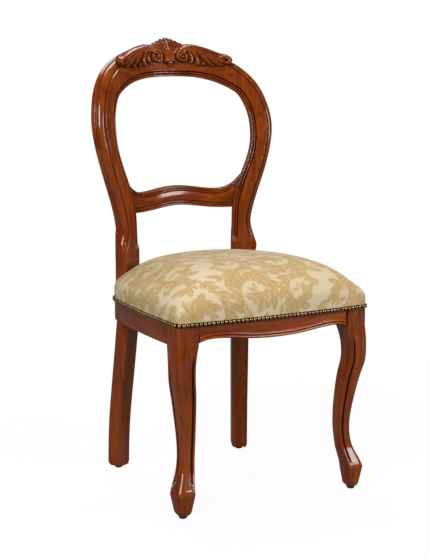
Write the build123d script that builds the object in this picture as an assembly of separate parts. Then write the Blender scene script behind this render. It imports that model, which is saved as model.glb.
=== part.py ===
from build123d import *
from math import atan2, cos, degrees, hypot, pi, radians, sin, sqrt
import os

# A balloon-back dining chair: dished moulded back, carved crest, stuffed-over seat, cabriole front legs.
# Millimetres, +Z up, the sitter faces -Y. The origin is on the floor under the middle of the chair.

# Seat frame, in plan
SEAT_HALF_FRONT = 229.0    # half width across the front corners
SEAT_HALF_REAR = 203.5     # half width where the side rails begin to turn in
SEAT_FRONT = -242.0        # face of the front posts
SEAT_TURN = 84.0           # where the side rails begin to turn in
FRONT_BOW = 9.0            # how far the middle of the front rail bows past the front posts
SIDE_BOW = 6.5             # outward swell of each side rail
TURN_BOW = 5.0             # swell of the rounded rear end of each side rail
RAIL_THICK = 24.0
RAIL_TOP = 420.0
RAIL_BOTTOM = 358.0
REAR_RAIL_FRONT = 4.0      # rear rail, behind the face of the back
UPHOLSTERY_REBATE = 2.5    # rebate of the rails and posts, in which the cover and its trim lie
POST_PROUD = 6.0           # set-back of the front rail below its upholstered lip
POST_SIZE = 49.0
POST_ROUND = 14.0
APRON_RISE = 9.0           # lift of the front rail's lower edge beside its middle
APRON_BEAD = 11.0          # height of the moulding along that edge
APRON_BEAD_PROUD = 3.0

# Front legs
TOE_HEIGHT = 50.0
TOE_SIZE = 40.0
FOOT_SIZE = 26.0
ANKLE_SIZE = 29.0
KNEE_SIZE = 43.5
ANKLE_SET_IN = 23.0        # how far the ankle draws in behind the toe, along the diagonal
FOOT_INSET = 21.0          # foot centre, inward of the seat corner
LEG_GROOVE_WIDTH = 7.0
LEG_GROOVE_DEPTH = 3.0
LEG_GROOVE_MARGIN = 8.5    # middle of each groove, from the inner edge of its face
LEG_CUT = 3.0              # chamfer of the three inner corners
LEG_STEPS = 18             # spans of the curved stretch

# Dished back: the face is bent about a vertical axis and leans back as it rises
BACK_RADIUS = 295.0
BACK_CENTRE = 162.0        # face of the back on the centre line, at the seat
BACK_TURN = 26.0           # degrees from the centre line to the stile joints
LEAN_START = 545.0
LEAN_SLOPE = 0.03
LEAN_RADIUS = 1500.0
STILE_THICK = 34.0
STILE_FOOT = 496.0         # where the stile mouldings stop above the seat
WAIST_HEIGHT = 552.0
WIDEST_HEIGHT = 752.0
WAIST_SET = 32.0           # outer edge at the waist, outward of the crest joint
WIDEST_SET = 83.0          # outer edge at the widest point
STILE_WIDTH = 43.0
EAR_SET = 44.5
INNER_BEAD = 13.0
OUTER_BEAD = 9.0
BEAD_DEPTH = 2.8
BEAD_SIDE = 9.0
QUIRK_DEPTH = 6.0
BACK_CHAMFER = 2.0
STILE_STEPS = 22
CREST_STEPS = 14

# Rear legs, below the seat
LEG_BLOCK_IN = -13.0       # leg block at the seat, from the crest joint line
LEG_BLOCK_OUT = 33.5
REAR_LEG_TOP_WIDTH = 41.0
REAR_LEG_FOOT_WIDTH = 37.0
REAR_LEG_FOOT_IN = -10.0
REAR_LEG_SWEEP = 32.0      # backward sweep of the foot
REAR_LEG_STEPS = 8
LEG_CHAMFER = 2.5

# Crest rail and cross rail
CREST_ARCH = 875.0         # underside of the crest rail on the centre line
CREST_DROP = 37.0          # fall of that underside to the joints
CREST_TOP = 945.0          # top of the rail on the centre line, behind the carving
CREST_SHOULDER = 903.0     # top of the rail at the joints
JOINT_STRETCH = 1.18       # the mouldings are cut on the slant at the joints
CROSS_BOTTOM = 581.5       # lowest points of the lower edge
CROSS_BOTTOM_ARCH = 8.0
CROSS_PEAK = 631.0
CROSS_DIP = 621.5
CROSS_DIP_AT = 84.0
CROSS_CORNER = 666.0       # where the rail's top edge runs up into the stile
CROSS_CORNER_AT = 159.0
CROSS_END_TURN = 6.0       # degrees by which the rail runs into the stile before it is scribed
CROSS_SET_BACK = 10.0
CROSS_THICK = 20.0
CROSS_FIELD_DEPTH = 3.0
CROSS_BEAD = 8.0
CROSS_FIELD_AT = 128.0     # where the sunk field runs out to a point

# Carving on the crest
CARVING_DEPTH = 9.0
CARVING_PEAK = 960.0
CARVING_HALF = 149.0
FAN_HALF = 52.0
FAN_RIBS = 7
VOLUTE_AT = 33.0
VOLUTE_HEIGHT = 921.0
VOLUTE_RADIUS = 12.5

# Joinery, upholstery and small parts
DOWEL_RADIUS = 4.0
DOWEL_FIT = 0.1            # clearance of each dowel and pin in its hole
DOWEL_DEPTH = 20.0
DOWEL_SPREAD = 30.0
CREST_DOWEL_SPREAD = 24.0
CROSS_DOWEL_SPREAD = 16.0
ROD_SIDES = 8              # dowels, pins, screws and their holes are faceted
SCREW_RADIUS = 2.4
SCREW_HEAD_RADIUS = 4.6
BLOCK_LEG = 52.0
BLOCK_LIFT = 14.0          # corner blocks, above the lower edge of the rails
BLOCK_TALL = 40.0
SCREW_LENGTH = 45.0
SCREW_HEAD = 2.5
DUST_GAP = 1.0             # dust cover, from the faces round it
STRAP_WIDTH = 50.0
STRAP_THICK = 1.6
LENGTHWISE_STRAPS = (-105.0, -35.0, 35.0, 105.0)
CROSSWISE_STRAPS = (-150.0, -75.0, 0.0, 75.0)
CANVAS_THICK = 1.2
COVER_THICK = 1.6
WADDING_THICK = 6.0
SOFT_GAP = 0.4             # clearance round each soft layer
CROWN_HEIGHT = 504.0       # top of the seat
CROWN_FALL = 12.0          # even fall of the crown from the middle to each side
CORNER_FALL = 14.0         # further fall to the corners
EDGE_FALL = 44.0           # further fall of the rolled edge
REAR_START = -75.0         # from here, behind the middle of the seat, the crown also falls to the rear
REAR_FALL = 9.0
REAR_CORNER_FALL = 32.0
CROWN_STEPS = (0.0, 0.45, 0.7, 0.85, 0.95, 1.0, 1.12)    # shares of the half width, closer at the edge
SIDE_SWELL = 1.2           # fullness of the sides above the trim
SWELL_HEIGHT = 430.0
TRIM_HEIGHT = 402.0        # centre line of the nail trim
TRIM_BAND = 8.4
TRIM_BAND_THICK = 0.8
NAIL_PITCH = 9.4
NAIL_RADIUS = 4.5
NAIL_RISE = 2.6
NAIL_SIDES = 6
DUST_THICK = 0.8
GLIDE_RADIUS = 10.0
GLIDE_HEIGHT = 6.0
GLIDE_PIN = 14.0
GLIDE_SIDES = 12

TURN = radians(BACK_TURN)
BACK_AXIS = BACK_CENTRE - BACK_RADIUS
POST_IN = SEAT_HALF_FRONT - POST_SIZE
POST_BACK = SEAT_FRONT + POST_SIZE
FRONT_INSIDE = SEAT_FRONT + POST_PROUD + RAIL_THICK


def lean(z):
    rise = max(z - LEAN_START, 0.0)
    return LEAN_SLOPE * rise + rise * rise / (2 * LEAN_RADIUS)


def lean_rate(z):
    rise = max(z - LEAN_START, 0.0)
    return (LEAN_SLOPE if rise > 0 else 0.0) + rise / LEAN_RADIUS


def back_point(turn, along, z, behind):
    """Point of the back: turned about its axis, moved along the tangent, behind the face at z = 0."""
    reach = BACK_RADIUS + behind
    return Vector(
        reach * sin(turn) + along * cos(turn),
        BACK_AXIS + reach * cos(turn) - along * sin(turn),
        z,
    )


def closed_wire(points):
    return Wire([Edge.make_line(a, b) for a, b in zip(points, points[1:] + points[:1])])


def mirrored(shape):
    return mirror(shape, about=Plane.YZ)


def on_both_sides(shape):
    return [shape, mirrored(shape)]


def rod(start, end, radius):
    """Faceted rod between two points."""
    way = end - start
    section = Plane(origin=start, z_dir=way) * RegularPolygon(radius, ROD_SIDES).face()
    return extrude(section, amount=way.length)


def frustum(plane, radius, top, rise, sides):
    """Faceted frustum that stands on a plane."""
    draw_in = (radius - top) * cos(pi / sides)
    section = plane * RegularPolygon(radius, sides).face()
    return extrude(section, amount=rise, taper=degrees(atan2(draw_in, rise)))


def smooth_stations(rows, steps):
    """Stations at even steps along the smooth curve through a few given ones."""
    curve = Edge.make_spline([Vector(*row) for row in rows], parameters=list(range(len(rows))))
    return [curve.position_at(step / steps, PositionMode.PARAMETER) for step in range(steps + 1)]


def upright(points, bottom, top):
    """Prism on a closed plan of points, from bottom to top."""
    face = Face(closed_wire([Vector(x, y, bottom) for x, y in points]))
    return extrude(face, amount=top - bottom, dir=(0, 0, 1))


# Back mouldings: the same section runs up the stiles and over the crest
def bead(edge, ridge, quirk):
    """Rounded bead of four chords from an edge over a ridge into a quirk, each (across, depth)."""
    pull = [2 * top - (first + last) / 2 for first, top, last in zip(edge, ridge, quirk)]
    points = []
    for share in (0, 0.25, 0.5, 0.75, 1):
        weights = ((1 - share) ** 2, 2 * share * (1 - share), share**2)
        points.append([sum(w * c for w, c in zip(weights, axis)) for axis in zip(edge, pull, quirk)])
    return points


def moulded_wire(place, width, stretch, rear_in=0.0):
    """Section with a bead at each edge; its outer rear corner may draw in."""
    inner = INNER_BEAD * stretch
    outer = OUTER_BEAD * stretch
    rear = STILE_THICK
    cut = BACK_CHAMFER
    near = bead((0, BEAD_SIDE), (0.32 * inner, BEAD_DEPTH), (0.78 * inner, QUIRK_DEPTH))
    far = bead((0, BEAD_SIDE), (0.32 * outer, BEAD_DEPTH), (0.78 * outer, QUIRK_DEPTH))
    section = [(cut, rear), (0, rear - cut)] + near + [(inner, 0), (width - outer, 0)]
    section += [(width - across, depth) for across, depth in reversed(far)]
    section += [(width - rear_in, rear - cut), (width - rear_in - cut, rear)]
    return closed_wire([place(across, depth) for across, depth in section])


def stile_wire(inner, outer):
    """Section of the right stile between an inner and an outer outline point, each (along, z)."""
    width = hypot(outer[0] - inner[0], outer[1] - inner[1])
    middle = (inner[1] + outer[1]) / 2

    def place(across, depth):
        share = across / width
        z = inner[1] + (outer[1] - inner[1]) * share
        along = inner[0] + (outer[0] - inner[0]) * share
        return back_point(TURN, along, z, lean(middle) + lean_rate(middle) * (z - middle) + depth)

    flare = max(0, outer[0] - LEG_BLOCK_OUT) if outer[1] < WAIST_HEIGHT else 0
    return moulded_wire(place, width, 1.0, flare)


def crest_wire(share):
    """Upright section of the crest rail; share runs from -1 at one joint to 1 at the other."""
    low = CREST_ARCH - CREST_DROP * abs(share) ** 3
    high = CREST_TOP - (CREST_TOP - CREST_SHOULDER) * share**2
    middle = (low + high) / 2

    def place(across, depth):
        z = low + across
        behind = lean(middle) + lean_rate(middle) * (z - middle) + depth
        return back_point(TURN * share, 0, z, behind)

    return moulded_wire(place, high - low, 1 + (JOINT_STRETCH - 1) * share**2)


def stile_sections():
    rise = WIDEST_HEIGHT - WAIST_HEIGHT
    crown = CREST_SHOULDER - WIDEST_HEIGHT
    swell = WIDEST_SET - WAIST_SET
    wide = WIDEST_SET
    waist_in = WAIST_SET - STILE_WIDTH
    foot_mid = (STILE_FOOT + WAIST_HEIGHT) / 2
    low_mid = WAIST_HEIGHT + 0.26 * rise
    high_mid = WAIST_HEIGHT + 0.64 * rise
    pairs = [
        ((LEG_BLOCK_IN, STILE_FOOT), (EAR_SET, STILE_FOOT)),
        ((0.6 * LEG_BLOCK_IN + 0.4 * waist_in, foot_mid), (0.35 * EAR_SET + 0.65 * WAIST_SET, foot_mid)),
        ((waist_in, WAIST_HEIGHT), (WAIST_SET, WAIST_HEIGHT)),
        ((waist_in + 0.13 * swell, low_mid + 10), (WAIST_SET + 0.24 * swell, low_mid)),
        ((waist_in + 0.73 * swell, high_mid + 16), (WAIST_SET + 0.73 * swell, high_mid)),
        ((wide - 50.0, WIDEST_HEIGHT - 3), (wide, WIDEST_HEIGHT)),
        ((wide - 55.0, WIDEST_HEIGHT + 0.21 * crown), (wide - 5.0, WIDEST_HEIGHT + 0.29 * crown)),
        ((wide - 68.0, WIDEST_HEIGHT + 0.41 * crown), (wide - 20.0, WIDEST_HEIGHT + 0.56 * crown)),
        ((wide - 76.5, WIDEST_HEIGHT + 0.52 * crown), (wide - 43.0, WIDEST_HEIGHT + 0.79 * crown)),
    ]
    inner_edge = smooth_stations([(*inner, 0) for inner, outer in pairs], STILE_STEPS)
    outer_edge = smooth_stations([(*outer, 0) for inner, outer in pairs], STILE_STEPS)
    sections = [stile_wire((a.X, a.Y), (b.X, b.Y)) for a, b in zip(inner_edge, outer_edge)]
    return sections + [crest_wire(1.0)]


def leg_wire(z, inside, width, sweep):
    """Chamfered rectangle of a rear leg."""
    cut = LEG_CHAMFER
    outside = inside + width
    front = sweep
    rear = sweep + STILE_THICK
    plan = [
        (inside + cut, front), (outside - cut, front), (outside, front + cut), (outside, rear - cut),
        (outside - cut, rear), (inside + cut, rear), (inside, rear - cut), (inside, front + cut),
    ]
    return closed_wire([back_point(TURN, along, z, behind) for along, behind in plan])


LEG_BACKWARD = Vector(sin(TURN), cos(TURN), 0)
EAR_START = RAIL_TOP + 12
EAR_END = STILE_FOOT - 6


def make_rear_leg():
    """Right rear leg and stile, sawn from one plank that is turned to face the sitter."""
    stile = loft([Face(wire) for wire in stile_sections()], ruled=True)
    faces = []
    for ear, depth in ((EAR_SET, 0), (LEG_BLOCK_OUT, STILE_THICK)):
        outline = [
            (LEG_BLOCK_IN, RAIL_BOTTOM), (LEG_BLOCK_OUT, RAIL_BOTTOM), (LEG_BLOCK_OUT, EAR_START),
            (ear, EAR_END), (ear, STILE_FOOT), (LEG_BLOCK_IN, STILE_FOOT),
        ]
        faces.append(Face(closed_wire([back_point(TURN, along, z, depth) for along, z in outline])))
    block = loft(faces, ruled=True)
    stations = [
        (RAIL_BOTTOM, 1.0, 0.02),
        (0.62 * RAIL_BOTTOM, 0.6, 0.5),
        (0.3 * RAIL_BOTTOM, 0.2, 0.88),
        (GLIDE_HEIGHT, 0.0, 1.0),
    ]
    sections = []
    for z, share, sweep in smooth_stations(stations, REAR_LEG_STEPS):
        inside = REAR_LEG_FOOT_IN + (LEG_BLOCK_IN - REAR_LEG_FOOT_IN) * share
        width = REAR_LEG_FOOT_WIDTH + (REAR_LEG_TOP_WIDTH - REAR_LEG_FOOT_WIDTH) * share
        sections.append(Face(leg_wire(z, inside, width, REAR_LEG_SWEEP * sweep)))
    leg = loft(sections, ruled=True)
    return stile + block + leg


def bent_band(low, high, front, rear, extra=0.0):
    """Piece bent about the axis of the back, from one stile to the other."""
    start = TURN + radians(extra)
    corners = [(low, front), (low, rear), (high, rear), (high, front)]
    profile = [back_point(start, 0, z, lean(z) + depth) for z, depth in corners]
    axis = Axis((0, BACK_AXIS, 0), (0, 0, 1))
    return revolve(Face(closed_wire(profile)), axis, 2 * (BACK_TURN + extra))


def front_cut(edges):
    """Cutter with a closed front outline, through the whole depth of the chair."""
    return extrude(Face(Wire(edges)), amount=2000, dir=(0, 1, 0), both=True)


def front_spline(points):
    return Edge.make_spline([Vector(x, 0, z) for x, z in points])


def front_line(start, end):
    return Edge.make_line(Vector(start[0], 0, start[1]), Vector(end[0], 0, end[1]))


def symmetric(points):
    """Points of the right half, the middle one first, spread to both sides from left to right."""
    return [(-x, z) for x, z in reversed(points[1:])] + points


def strip_outline(top, bottom):
    """Closed front outline between two splines, each listed from left to right."""
    return [
        front_spline(top),
        front_line(top[-1], bottom[-1]),
        front_spline(bottom),
        front_line(bottom[0], top[0]),
    ]


def raised(points, rise):
    return [(x, z + rise) for x, z in points]


# Cross rail of the back: a serpentine rail with a bead along each edge
def make_cross_rail(stiles):
    climb = CROSS_CORNER - CROSS_DIP
    reach = CROSS_CORNER_AT
    top = symmetric([
        (0, CROSS_PEAK),
        (CROSS_DIP_AT, CROSS_DIP),
        (0.74 * reach, CROSS_DIP + 0.09 * climb),
        (0.86 * reach, CROSS_DIP + 0.29 * climb),
        (0.946 * reach, CROSS_DIP + 0.67 * climb),
        (reach, CROSS_CORNER - 0.1 * climb),
        (1.1 * reach, CROSS_CORNER + 0.4 * climb),
    ])
    bottom = symmetric([
        (0, CROSS_BOTTOM + CROSS_BOTTOM_ARCH),
        (CROSS_DIP_AT, CROSS_BOTTOM),
        (1.1 * reach, CROSS_BOTTOM + 2.5),
    ])
    front = CROSS_SET_BACK
    rear = CROSS_SET_BACK + CROSS_THICK
    low = CROSS_BOTTOM - 10
    high = CROSS_CORNER + climb
    rail = bent_band(low, high, front, rear, CROSS_END_TURN) & front_cut(strip_outline(top, bottom))
    middle = (CROSS_DIP + CROSS_BOTTOM) / 2
    field = symmetric([
        (0, CROSS_PEAK - CROSS_BEAD),
        (CROSS_DIP_AT, CROSS_DIP - CROSS_BEAD),
        (CROSS_FIELD_AT, middle + 1),
    ])
    floor = symmetric([
        (0, CROSS_BOTTOM + CROSS_BOTTOM_ARCH + CROSS_BEAD),
        (CROSS_DIP_AT, CROSS_BOTTOM + CROSS_BEAD),
        (CROSS_FIELD_AT, middle - 1),
    ])
    pocket = bent_band(low, high, front - 5, front + CROSS_FIELD_DEPTH)
    rail = rail - (pocket & front_cut(strip_outline(field, floor)))
    for stile in stiles:
        rail = rail - stile
    return max(rail.solids(), key=lambda solid: solid.volume)


# Carved crest: fan, volutes and acanthus leaves, scribed to the crest rail
def crest_point(x, z, depth):
    reach = BACK_RADIUS + lean(z) + depth
    return Vector(x, BACK_AXIS + sqrt(reach * reach - x * x), z)


def lobe(start, end, thick):
    """Carved lobe: chiselled facets that swell from the root and close in a blunt tip."""
    way = end - start
    belly = Plane(origin=start + way * 0.72, z_dir=way)
    back = Plane(origin=belly.origin, x_dir=belly.x_dir, z_dir=way * -1)
    tip = frustum(belly, thick, 0.35 * thick, 0.28 * way.length, ROD_SIDES)
    return tip + frustum(back, thick, 1.5, 0.72 * way.length, ROD_SIDES)


def make_carving(rail):
    half = CARVING_HALF
    rise = CARVING_PEAK - VOLUTE_HEIGHT
    top = symmetric([
        (0, CARVING_PEAK - 4),
        (FAN_HALF, CARVING_PEAK - 0.36 * rise),
        (0.68 * half, VOLUTE_HEIGHT + 0.3 * rise),
        (0.99 * half, VOLUTE_HEIGHT - 0.1 * rise),
    ])
    bottom = symmetric([
        (0, VOLUTE_HEIGHT - 0.44 * rise),
        (VOLUTE_AT, VOLUTE_HEIGHT - 0.33 * rise),
        (0.52 * half, VOLUTE_HEIGHT - 0.42 * rise),
        (0.78 * half, VOLUTE_HEIGHT - 0.62 * rise),
        (0.95 * half, VOLUTE_HEIGHT - 0.4 * rise),
    ])
    face = -0.5 * CARVING_DEPTH
    band = bent_band(VOLUTE_HEIGHT - rise, CARVING_PEAK + 5, face, 0.6 * CARVING_DEPTH)
    carving = band & front_cut(strip_outline(top, bottom))
    lobes = []
    for index in range(FAN_RIBS):
        spread = 2 * index / (FAN_RIBS - 1) - 1
        tip = crest_point(spread * FAN_HALF, CARVING_PEAK - 0.32 * rise * spread**2, face)
        root = crest_point(spread * FAN_HALF * 0.15, VOLUTE_HEIGHT - 0.3 * rise, face)
        lobes.append(lobe(root, tip, 7.0))
    leaf = [
        ((0.30, 0.20), (0.50, 0.52), 5.5),
        ((0.38, -0.05), (0.69, 0.32), 6.5),
        ((0.42, -0.22), (0.56, -0.40), 5.5),
        ((0.50, -0.02), (0.86, 0.12), 6.5),
        ((0.54, -0.18), (0.78, -0.56), 6.0),
        ((0.66, -0.14), (0.97, -0.16), 6.0),
    ]
    for start, end, thick in leaf:
        for side in (1, -1):
            base = crest_point(side * start[0] * half, VOLUTE_HEIGHT + start[1] * rise, face)
            tip = crest_point(side * end[0] * half, VOLUTE_HEIGHT + end[1] * rise, face)
            lobes.append(lobe(base, tip, thick))
    for side in (1, -1):
        inner = crest_point(side * VOLUTE_AT, VOLUTE_HEIGHT, 0)
        outer = crest_point(side * VOLUTE_AT, VOLUTE_HEIGHT, -CARVING_DEPTH)
        eye = crest_point(side * VOLUTE_AT, VOLUTE_HEIGHT, -1.4 * CARVING_DEPTH)
        lobes.append(rod(inner, outer, VOLUTE_RADIUS))
        boss = Plane(outer, z_dir=eye - outer)
        lobes.append(frustum(boss, 0.7 * VOLUTE_RADIUS, 2.0, (eye - outer).length, ROD_SIDES))
    carving = carving.fuse(*lobes) - rail
    return max(carving.solids(), key=lambda solid: solid.volume)


# Cabriole front legs
DIAGONAL = sqrt(0.5)
FOOT_X = SEAT_HALF_FRONT - FOOT_INSET
FOOT_Y = SEAT_FRONT + FOOT_INSET
FOOT_SHIFT = -1.5


def leg_stations():
    """Height, outward shift along the diagonal and side of the square section, from knee to toe."""
    tall = RAIL_BOTTOM - TOE_HEIGHT
    post_shift = (FOOT_INSET - POST_SIZE / 2) / DIAGONAL
    swell = KNEE_SIZE - ANKLE_SIZE
    flare = TOE_SIZE - ANKLE_SIZE
    return [
        (RAIL_BOTTOM, post_shift, POST_SIZE),
        (TOE_HEIGHT + 0.84 * tall, 2.0, KNEE_SIZE),
        (TOE_HEIGHT + 0.665 * tall, -0.32 * ANKLE_SET_IN, ANKLE_SIZE + 0.77 * swell),
        (TOE_HEIGHT + 0.5 * tall, -0.76 * ANKLE_SET_IN, ANKLE_SIZE + 0.43 * swell),
        (TOE_HEIGHT + 0.325 * tall, -1.03 * ANKLE_SET_IN, ANKLE_SIZE + 0.07 * swell),
        (TOE_HEIGHT + 0.2 * tall, -0.93 * ANKLE_SET_IN, ANKLE_SIZE),
        (TOE_HEIGHT + 0.12 * tall, -0.65 * ANKLE_SET_IN, ANKLE_SIZE + 0.26 * flare),
        (TOE_HEIGHT + 0.045 * tall, -0.2 * ANKLE_SET_IN, ANKLE_SIZE + 0.74 * flare),
        (TOE_HEIGHT, 0.0, TOE_SIZE),
    ]


def leg_centre(shift):
    return FOOT_X + shift * DIAGONAL, FOOT_Y - shift * DIAGONAL


def leg_section(z, shift, size, outer_round, groove=0.0):
    """Square section of the right front leg: rounded outer corner, a groove in each outer face."""
    x, y = leg_centre(shift)
    half = size / 2
    cut = LEG_CUT
    turns = [index * pi / 8 for index in range(5)]
    corner = [(half - outer_round * (1 - sin(a)), -half + outer_round * (1 - cos(a))) for a in turns]
    middle = half - LEG_GROOVE_MARGIN
    wide = LEG_GROOVE_WIDTH / 2
    hollow = [(-wide, 0), (-0.4 * wide, groove), (0.4 * wide, groove), (wide, 0)]
    side = [(half - deep, middle + across) for across, deep in hollow]
    front = [(-middle + across, deep - half) for across, deep in hollow]
    rear = [(half, half - cut), (half - cut, half), (cut - half, half), (-half, half - cut)]
    points = corner + side + rear + [(-half, cut - half), (cut - half, -half)] + front
    return Face(closed_wire([Vector(x + across, y + along, z) for across, along in points]))


def make_front_leg():
    ease = POST_ROUND / POST_SIZE
    post_shift = leg_stations()[0][1]
    sections = [leg_section(RAIL_TOP, post_shift, POST_SIZE, POST_ROUND)]
    stations = smooth_stations(leg_stations(), LEG_STEPS)
    for z, shift, size in stations:
        fall = (RAIL_BOTTOM - z) / (RAIL_BOTTOM - TOE_HEIGHT)
        groove = LEG_GROOVE_DEPTH * max(0, min(1, 8 * (fall - 0.12), 8 * (0.94 - fall)))
        sections.append(leg_section(z, shift, size, ease * size, groove))
    sections.append(leg_section(GLIDE_HEIGHT, FOOT_SHIFT, FOOT_SIZE, ease * FOOT_SIZE))
    return loft(sections, ruled=True)


# Seat rails
def side_edge(y):
    """Outer face of the right side rail."""
    share = (y - SEAT_FRONT) / (SEAT_TURN - SEAT_FRONT)
    straight = SEAT_HALF_FRONT + (SEAT_HALF_REAR - SEAT_HALF_FRONT) * share
    return straight + 4 * SIDE_BOW * share * (1 - share)


def seat_inside(y):
    """Flat inner face of the right side rail."""
    front = side_edge(POST_BACK) - RAIL_THICK
    rear = SEAT_HALF_REAR - RAIL_THICK
    return front + (rear - front) * (y - POST_BACK) / (SEAT_TURN - POST_BACK)


LEG_CORNER = back_point(TURN, LEG_BLOCK_OUT, 0, 0)
RAIL_END_DEPTH = STILE_THICK - 7
RAIL_END = back_point(TURN, LEG_BLOCK_OUT, 0, RAIL_END_DEPTH)
RAIL_SEAT = back_point(TURN, LEG_BLOCK_IN + 11, 0, 0)
HAUNCH_FRONT = SEAT_TURN - 14


def turn_middle(offset=0.0):
    start = Vector(SEAT_HALF_REAR, SEAT_TURN, 0)
    way = RAIL_END - start
    normal = Vector(way.Y, -way.X, 0).normalized()
    return (start + RAIL_END) * 0.5 + normal * (TURN_BOW + offset)


def make_side_rail():
    front_outer = Vector(side_edge(POST_BACK), POST_BACK, 0)
    middle_y = (POST_BACK + SEAT_TURN) / 2
    bulge = Vector(side_edge(middle_y), middle_y, 0)
    turn_start = Vector(SEAT_HALF_REAR, SEAT_TURN, 0)
    inner_turn = Vector(seat_inside(HAUNCH_FRONT), HAUNCH_FRONT, 0)
    inner_front = Vector(seat_inside(POST_BACK), POST_BACK, 0)
    plan = Wire([
        Edge.make_three_point_arc(front_outer, bulge, turn_start),
        Edge.make_three_point_arc(turn_start, turn_middle(), RAIL_END),
        Edge.make_line(RAIL_END, LEG_CORNER),
        Edge.make_line(LEG_CORNER, RAIL_SEAT),
        Edge.make_line(RAIL_SEAT, inner_turn),
        Edge.make_line(inner_turn, inner_front),
        Edge.make_line(inner_front, front_outer),
    ])
    return Pos(0, 0, RAIL_BOTTOM) * extrude(Face(plan), amount=RAIL_TOP - RAIL_BOTTOM, dir=(0, 0, 1))


def bowed_plan(proud):
    """Plan of the front rail: its lip is flush with the posts, a negative value is set back."""
    ends = SEAT_FRONT - proud
    middle = SEAT_FRONT - FRONT_BOW - proud
    return Face(Wire([
        Edge.make_three_point_arc(Vector(-POST_IN, ends, 0), Vector(0, middle, 0), Vector(POST_IN, ends, 0)),
        Edge.make_line(Vector(POST_IN, ends, 0), Vector(POST_IN, FRONT_INSIDE, 0)),
        Edge.make_line(Vector(POST_IN, FRONT_INSIDE, 0), Vector(-POST_IN, FRONT_INSIDE, 0)),
        Edge.make_line(Vector(-POST_IN, FRONT_INSIDE, 0), Vector(-POST_IN, ends, 0)),
    ]))


def rail_slab(proud, low, high):
    return Pos(0, 0, low) * extrude(bowed_plan(proud), amount=high - low, dir=(0, 0, 1))


def apron_edge():
    low = RAIL_BOTTOM + 2
    return symmetric([
        (0, low),
        (0.33 * POST_IN, low + 0.25 * APRON_RISE),
        (0.67 * POST_IN, low + 0.95 * APRON_RISE),
        (0.89 * POST_IN, low + 0.9 * APRON_RISE),
        (POST_IN, low + 0.2 * APRON_RISE),
    ])


def make_front_rail():
    edge = apron_edge()
    ceiling = symmetric([(0, RAIL_TOP), (POST_IN, RAIL_TOP)])
    below = RAIL_BOTTOM - 20
    rail = rail_slab(-POST_PROUD, below, RAIL_TOP) & front_cut(strip_outline(ceiling, edge))
    rail = rail + rail_slab(-UPHOLSTERY_REBATE, TRIM_HEIGHT - TRIM_BAND / 2, RAIL_TOP)
    for share, proud in ((0.62, APRON_BEAD_PROUD), (1.0, 0.5 * APRON_BEAD_PROUD)):
        strip = rail_slab(proud - POST_PROUD, below, RAIL_TOP)
        rail = rail + (strip & front_cut(strip_outline(raised(edge, share * APRON_BEAD), edge)))
    return rail


def leg_space(inward, forward, outward):
    """Room for the right rear leg at the seat, open to the rear, larger than the leg by clearances."""
    inside = LEG_BLOCK_IN - inward
    low = RAIL_BOTTOM - 50
    high = STILE_FOOT + 50
    outline = [
        (inside, low),
        (LEG_BLOCK_OUT + outward, low),
        (LEG_BLOCK_OUT + outward, EAR_START),
        (EAR_SET + outward, EAR_END),
        (EAR_SET + outward, high),
        (inside, high),
    ]
    face = Face(closed_wire([back_point(TURN, along, z, -forward) for along, z in outline]))
    return extrude(face, amount=forward + 120, dir=LEG_BACKWARD)


def without_legs(shape, inward, forward, outward):
    for space in on_both_sides(leg_space(inward, forward, outward)):
        shape = shape - space
    return shape


def make_rear_rail():
    rail = bent_band(RAIL_BOTTOM, RAIL_TOP, REAR_RAIL_FRONT, REAR_RAIL_FRONT + RAIL_THICK)
    return without_legs(rail, 0, 60, 90)


# Seat plan: one outline carries the cover, the stuffing, the trim and the nails
def seat_half_edges(grow):
    """Right half of the outer outline from the middle of the front to the rear leg."""
    front = SEAT_FRONT - grow
    centre = Vector(SEAT_HALF_FRONT - POST_ROUND, SEAT_FRONT + POST_ROUND, 0)
    reach = POST_ROUND + grow
    corner_start = Vector(centre.X, front, 0)
    quarter = Vector(centre.X / 2, front - FRONT_BOW * 0.75, 0)
    corner_end = Vector(SEAT_HALF_FRONT + grow, centre.Y, 0)
    middle_y = (centre.Y + SEAT_TURN) / 2
    turn_start = Vector(SEAT_HALF_REAR + grow, SEAT_TURN, 0)
    rear_end = back_point(TURN, LEG_BLOCK_OUT, 0, RAIL_END_DEPTH + 1.8 * grow)
    return [
        Edge.make_three_point_arc(Vector(0, front - FRONT_BOW, 0), quarter, corner_start),
        Edge.make_three_point_arc(corner_start, centre + Vector(reach, -reach, 0) * DIAGONAL, corner_end),
        Edge.make_three_point_arc(corner_end, Vector(side_edge(middle_y) + grow, middle_y, 0), turn_start),
        Edge.make_three_point_arc(turn_start, turn_middle(grow), rear_end),
    ]


REAR_PATH_TURN = radians(BACK_TURN - 1.2)


def rear_point(share, grow):
    return back_point(REAR_PATH_TURN * share, 0, 0, REAR_RAIL_FRONT + RAIL_THICK + grow)


def seat_plan(grow):
    half = seat_half_edges(grow)
    rear_end = half[-1] @ 1
    near = rear_point(1, grow)
    far = rear_point(-1, grow)
    rear_arc = Edge.make_three_point_arc(near, rear_point(0, grow), far)
    links = [Edge.make_line(rear_end, near), Edge.make_line(far, Vector(-rear_end.X, rear_end.Y, 0))]
    return Face(Wire(half + [edge.mirror(Plane.YZ) for edge in half] + [rear_arc] + links))


def seat_prism(grow, low, high):
    return Pos(0, 0, low) * extrude(seat_plan(grow), amount=high - low, dir=(0, 0, 1))


def rebated(shape):
    """Shape with the shallow rebate for the cover and its trim along the top of its outer face."""
    low = TRIM_HEIGHT - TRIM_BAND / 2
    waste = seat_prism(5, low, RAIL_TOP + 1) - seat_prism(-UPHOLSTERY_REBATE, low - 1, RAIL_TOP + 2)
    return shape - waste


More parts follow.
